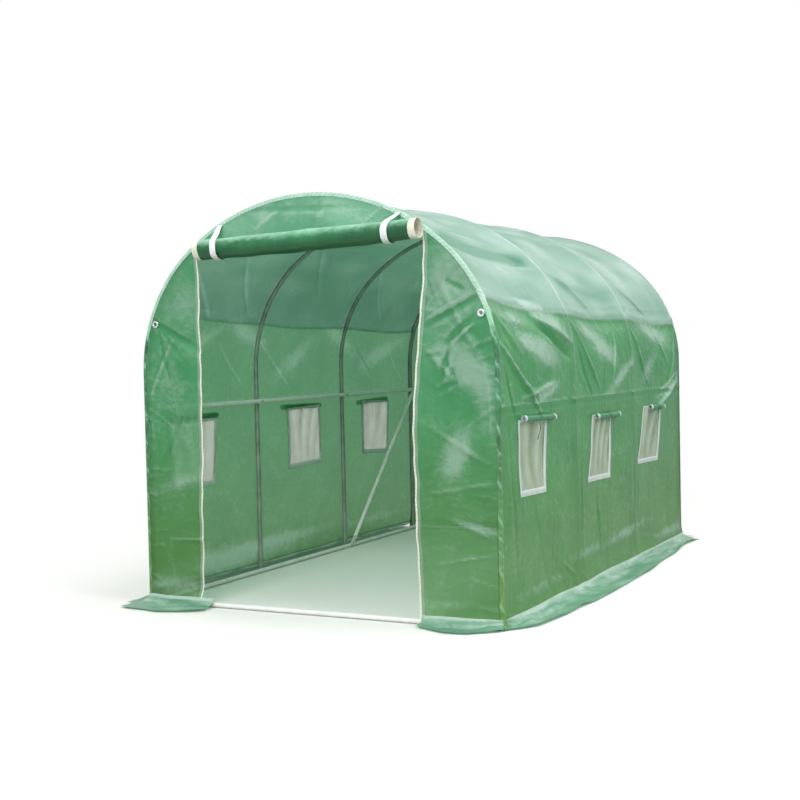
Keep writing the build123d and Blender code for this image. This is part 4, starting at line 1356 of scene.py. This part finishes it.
def tie_strip(name, middle, slant):
    """One tie, slanting by slant metres from where it is sewn on to the front of the roll."""
    far = ROLL_RADIUS * 1.10 + 0.0045
    axis_z = float(roll_axis(middle))
    top = min(axis_z + far + 0.06, float(arch_height(middle + slant)) - 0.006)
    round_it = np.radians(np.linspace(118, 372, 46))
    arc = np.stack([ROLL_Y + far * np.cos(round_it), axis_z + far * np.sin(round_it)], axis=1)
    path = np.concatenate([[[-END - 0.004, top]], arc])
    path[:, 0] = np.minimum(path[:, 0], -END - 0.0026)
    along = np.append(0, np.cumsum(np.hypot(*np.diff(path, axis=0).T)))
    slope = float(along[14])

    def place(a, b):
        y, z = np.interp(b, along, path[:, 0]), np.interp(b, along, path[:, 1])
        slide = slant * (1 - ease(b, slope))
        wide = TIE_WIDTH * (0.74 + 0.26 * ease(b, 0.06))
        curl = 0.0015 * np.sin(b * 70) * (2 * a) ** 2
        return middle + slide + a * wide, y - curl, z

    strip = cloth(np.linspace(-0.5, 0.5, 7), steps(0.004, 0, float(along[-1])), place,
                  flat_place=lambda a, b: (a * TIE_WIDTH, b))
    finish(strip, name, TIE_TAPE, "tape", "door_ties")


tie_strip("left_door_tie", -0.462, -0.018)
tie_strip("right_door_tie", 0.468, 0.030)

# %% [markdown]
# Each window's flap is rolled up above it in the same way, with a white hem that shows at both ends.
# A narrow green tie goes round its middle and lets two tails hang over the screen.

# %% Window flaps
FLAP_TURNS, FLAP_CORE = 5.6, 0.0055
FLAP_OFF = 0.0175               # from the wall to the middle of a roll
FLAP_HEM = 0.014
flap_low, flap_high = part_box("right_window_flaps")
FLAP_RADIUS = (flap_high.x - flap_low.x) / 2
FLAP_Z = (flap_low.z + flap_high.z) / 2
flap_length = spiral_length(FLAP_TURNS, FLAP_CORE, FLAP_RADIUS)
# each flap's middle, its length, how far it hangs off the level of the CAD's, and its tilt
FLAP_PLACES = {
    (1, 0): (-1.065, 0.415, 0.015, -0.006), (1, 1): (0.000, 0.395, -0.028, -0.003),
    (1, 2): (0.940, 0.290, -0.025, -0.004), (-1, 0): (-1.085, 0.430, 0.012, 0.004),
    (-1, 1): (0.035, 0.430, 0.022, -0.003), (-1, 2): (0.970, 0.420, 0.018, 0.005),
}


def on_flap(side, number, y, length, out=0.0):
    """The point of a rolled flap at y and at a length along the flap from its core."""
    middle, wide, hang, slope = FLAP_PLACES[(side, number)]
    turns = wind(length, FLAP_TURNS, FLAP_CORE, FLAP_RADIUS)
    angle = 2 * math.pi * (turns - FLAP_TURNS) + math.radians(115)
    part = (y - middle) / (wide / 2)
    waist = 1 - 0.14 * np.exp(-(part / 0.10) ** 2)
    far = (FLAP_CORE + (FLAP_RADIUS - FLAP_CORE) * turns / FLAP_TURNS) * waist
    far = far * (1 + 0.05 * np.sin(7 * y + number) + 0.03 * np.sin(23 * y) * np.sin(angle)) + out
    level = FLAP_Z + hang + slope * part
    x = on_wall(side, y, level, FLAP_OFF)[0]
    slip = 1 + 0.014 * np.sin(3.1 * turns + number) * np.abs(part) ** 6
    return (x + side * far * np.cos(angle), middle + (y - middle) * slip,
            level + far * np.sin(angle))


for side, word in SIDES:
    for number in range(3):
        middle, wide, _, _ = FLAP_PLACES[(side, number)]
        label, edge, trims = f"{word}_flap_{number + 1}", wide / 2 - FLAP_HEM, []
        rows = steps(0.0034, 0, flap_length)
        flap = cloth(steps(0.015, middle - edge, middle + edge), rows,
                     lambda a, b: on_flap(side, number, a, b))
        finish(flap, label, FLAP, "sheeting", f"{word}_window_flaps")
        for end, low, high in (("front", middle - wide / 2, middle - edge),
                               ("rear", middle + edge, middle + wide / 2)):
            band = cloth(steps(0.005, low, high), rows,
                         lambda a, b: on_flap(side, number, a, b, 0.0005))
            trims.append(finish(band, f"{label}_{end}_hem", WHITE_TAPE, "tape"))

# %% Ties of the window flaps
def flap_tie(side, number, word):
    """A narrow green tape round the waist of a flap, with two tails."""
    middle, _, hang, _ = FLAP_PLACES[(side, number)]
    far, level = FLAP_RADIUS * 0.9 + 0.002, FLAP_Z + hang
    x0 = float(on_wall(side, np.array([middle]), np.array([level]), FLAP_OFF)[0][0])
    draw = np.random.default_rng(120 + 7 * number + side)
    loop = cloth(np.linspace(-0.004, 0.004, 4), np.linspace(0, 2 * math.pi, 33),
                 lambda a, b: (x0 + far * np.cos(b), middle + a + 0.003 * np.sin(b),
                               level + far * np.sin(b)),
                 flat_place=lambda a, b: (a, b * far))
    finish(loop, f"{word}_flap_{number + 1}_tie", THREAD, "sheeting")
    for tail in (0, 1):
        drop, lean = draw.uniform(0.05, 0.11), draw.uniform(-0.018, 0.018)
        bend = draw.uniform(0.004, 0.010)
        strip = cloth(np.linspace(-0.003, 0.003, 3), np.linspace(0, 1, 22),
                      lambda a, b: (x0 + side * (0.004 * np.sin(5 * b) + 0.002 * tail),
                                    middle + a + lean * b + bend * np.sin(4 * b + tail),
                                    level - far - drop * b),
                      flat_place=lambda a, b: (a, b * drop))
        finish(strip, f"{word}_flap_{number + 1}_tail_{tail + 1}", THREAD, "sheeting")


for side, word in SIDES:
    for number in range(3):
        flap_tie(side, number, word)

# %% [markdown]
# A metal eyelet is pressed into each front panel beside the arch. It is a thin ring rolled over the
# hole: a torus squashed almost flat gives the rolled outer edge, and a second, narrower one inside
# it the throat. The ring is stiff, so it lies on the highest cloth under it, clear of the hoop.

# %% Eyelets
for side, word in SIDES:
    round_it = np.linspace(0, 2 * math.pi, 24, endpoint=False)
    under_ring = on_panel(side, EYELET_X + HOLE * np.cos(round_it),
                          EYELET_Z + HOLE * np.sin(round_it))
    x, y, z = side * EYELET_X, float(under_ring[1].min()), EYELET_Z
    rings = []
    for wide, thick, squash, forward in ((0.0138, 0.0042, 0.45, 0.0020),
                                         (0.0106, 0.0018, 1.1, 0.0013)):
        bpy.ops.object.select_all(action="DESELECT")
        bpy.ops.mesh.primitive_torus_add(location=(x, y - forward, z), major_radius=wide,
                                         minor_radius=thick, major_segments=48, minor_segments=14,
                                         rotation=(math.pi / 2, 0, 0))
        ring = bpy.context.object
        ring.scale = (1, 1, squash)
        rings.append(ring)
    bpy.ops.object.select_all(action="DESELECT")
    for ring in rings:
        ring.select_set(True)
    bpy.context.view_layer.objects.active = rings[0]
    bpy.ops.object.join()
    finish(rings[0], f"{word}_eyelet", RING, "eyelet", "front_eyelets")

# %% [markdown]
# The rails are bolted through the hoops, and each bolt is closed on the inside by a wing nut. It is
# modelled once, lying along x, from the washer that it starts with: the washer's face is drawn out
# into the nut and the bolt's end, and two of the nut's sides are drawn out into its wings. A bevel
# takes off the sharp edges. Each crossing gets a copy with a mesh of its own.

# %% One bolt with its wing nut
def draw_out(obj, picked, *moves):
    """Extrude the faces that picked(face) chooses, each time by a move and then scaled."""
    only(obj)
    bpy.ops.object.mode_set(mode="EDIT")
    bpy.ops.mesh.select_mode(type="FACE")
    bpy.ops.mesh.select_all(action="DESELECT")
    bpy.ops.object.mode_set(mode="OBJECT")
    chosen = [face for face in obj.data.polygons if picked(face)]
    at = sum((face.center for face in chosen), Vector()) / len(chosen)
    for face in chosen:
        face.select = True
    bpy.ops.object.mode_set(mode="EDIT")
    for move, share in moves:
        bpy.ops.mesh.extrude_region_move(TRANSFORM_OT_translate={"value": move})
        at = at + Vector(move)
        bpy.ops.transform.resize(value=share, center_override=at)
    bpy.ops.object.mode_set(mode="OBJECT")


WASHER, NUT, NUT_TIP, SHANK = 0.0085, 0.0058, 0.0046, 0.0029
bpy.ops.object.select_all(action="DESELECT")
bpy.ops.mesh.primitive_cylinder_add(vertices=18, radius=WASHER, depth=0.0014,
                                    location=(-0.0007, 0, 0), rotation=(0, math.pi / 2, 0))
first_bolt = bpy.context.object
bpy.ops.object.transform_apply(location=True, rotation=True, scale=True)
outline = [(0.0, NUT / WASHER), (-0.0046, 1.0), (-0.0020, NUT_TIP / NUT), (0.0, SHANK / NUT_TIP),
           (-0.0025, 1.0), (-0.0006, 0.75)]
draw_out(first_bolt, lambda face: face.normal.x < -0.9,
         *[((move, 0, 0), (1, share, share)) for move, share in outline])
for way in (1, -1):
    draw_out(first_bolt,
             lambda face: way * face.normal.z > 0.97 and 0.003 < -face.center.x < 0.005,
             ((0, 0, 0.003 * way), (1.45, 0.9, 1)), ((-0.0015, 0, 0.004 * way), (1.15, 0.8, 1)),
             ((-0.0010, 0, 0.003 * way), (0.6, 0.7, 1)))
rounded = first_bolt.modifiers.new("rounded", "BEVEL")
rounded.width, rounded.segments, rounded.angle_limit = 0.0004, 2, math.radians(35)
bpy.ops.object.modifier_apply(modifier=rounded.name)
print("bolt", len(first_bolt.data.polygons), "faces")

# %% A bolt at each crossing
crossings = []
for number, hoop in enumerate(HOOPS):
    for side, word in SIDES:
        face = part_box(f"waist_rail_{word}")[0 if side > 0 else 1].x
        crossings.append((f"{word}_waist_bolt_{number + 1}", (face, hoop, WAIST), side))
    crossings.append((f"ridge_bolt_{number + 1}", (0, hoop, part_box("ridge_rail")[0].z), 0))
for name, place, side in crossings:
    only(first_bolt)
    bpy.ops.object.duplicate(linked=False)
    bolt = bpy.context.object
    if side < 0:
        bolt.rotation_euler = (0, 0, math.pi)
    elif side == 0:
        bolt.rotation_euler = (0, -math.pi / 2, 0)
    bolt.location = place
    finish(bolt, name, BOLT_STEEL, "pale_tube", angle=50)
bpy.data.objects.remove(first_bolt)
print("bolts", len(crossings))
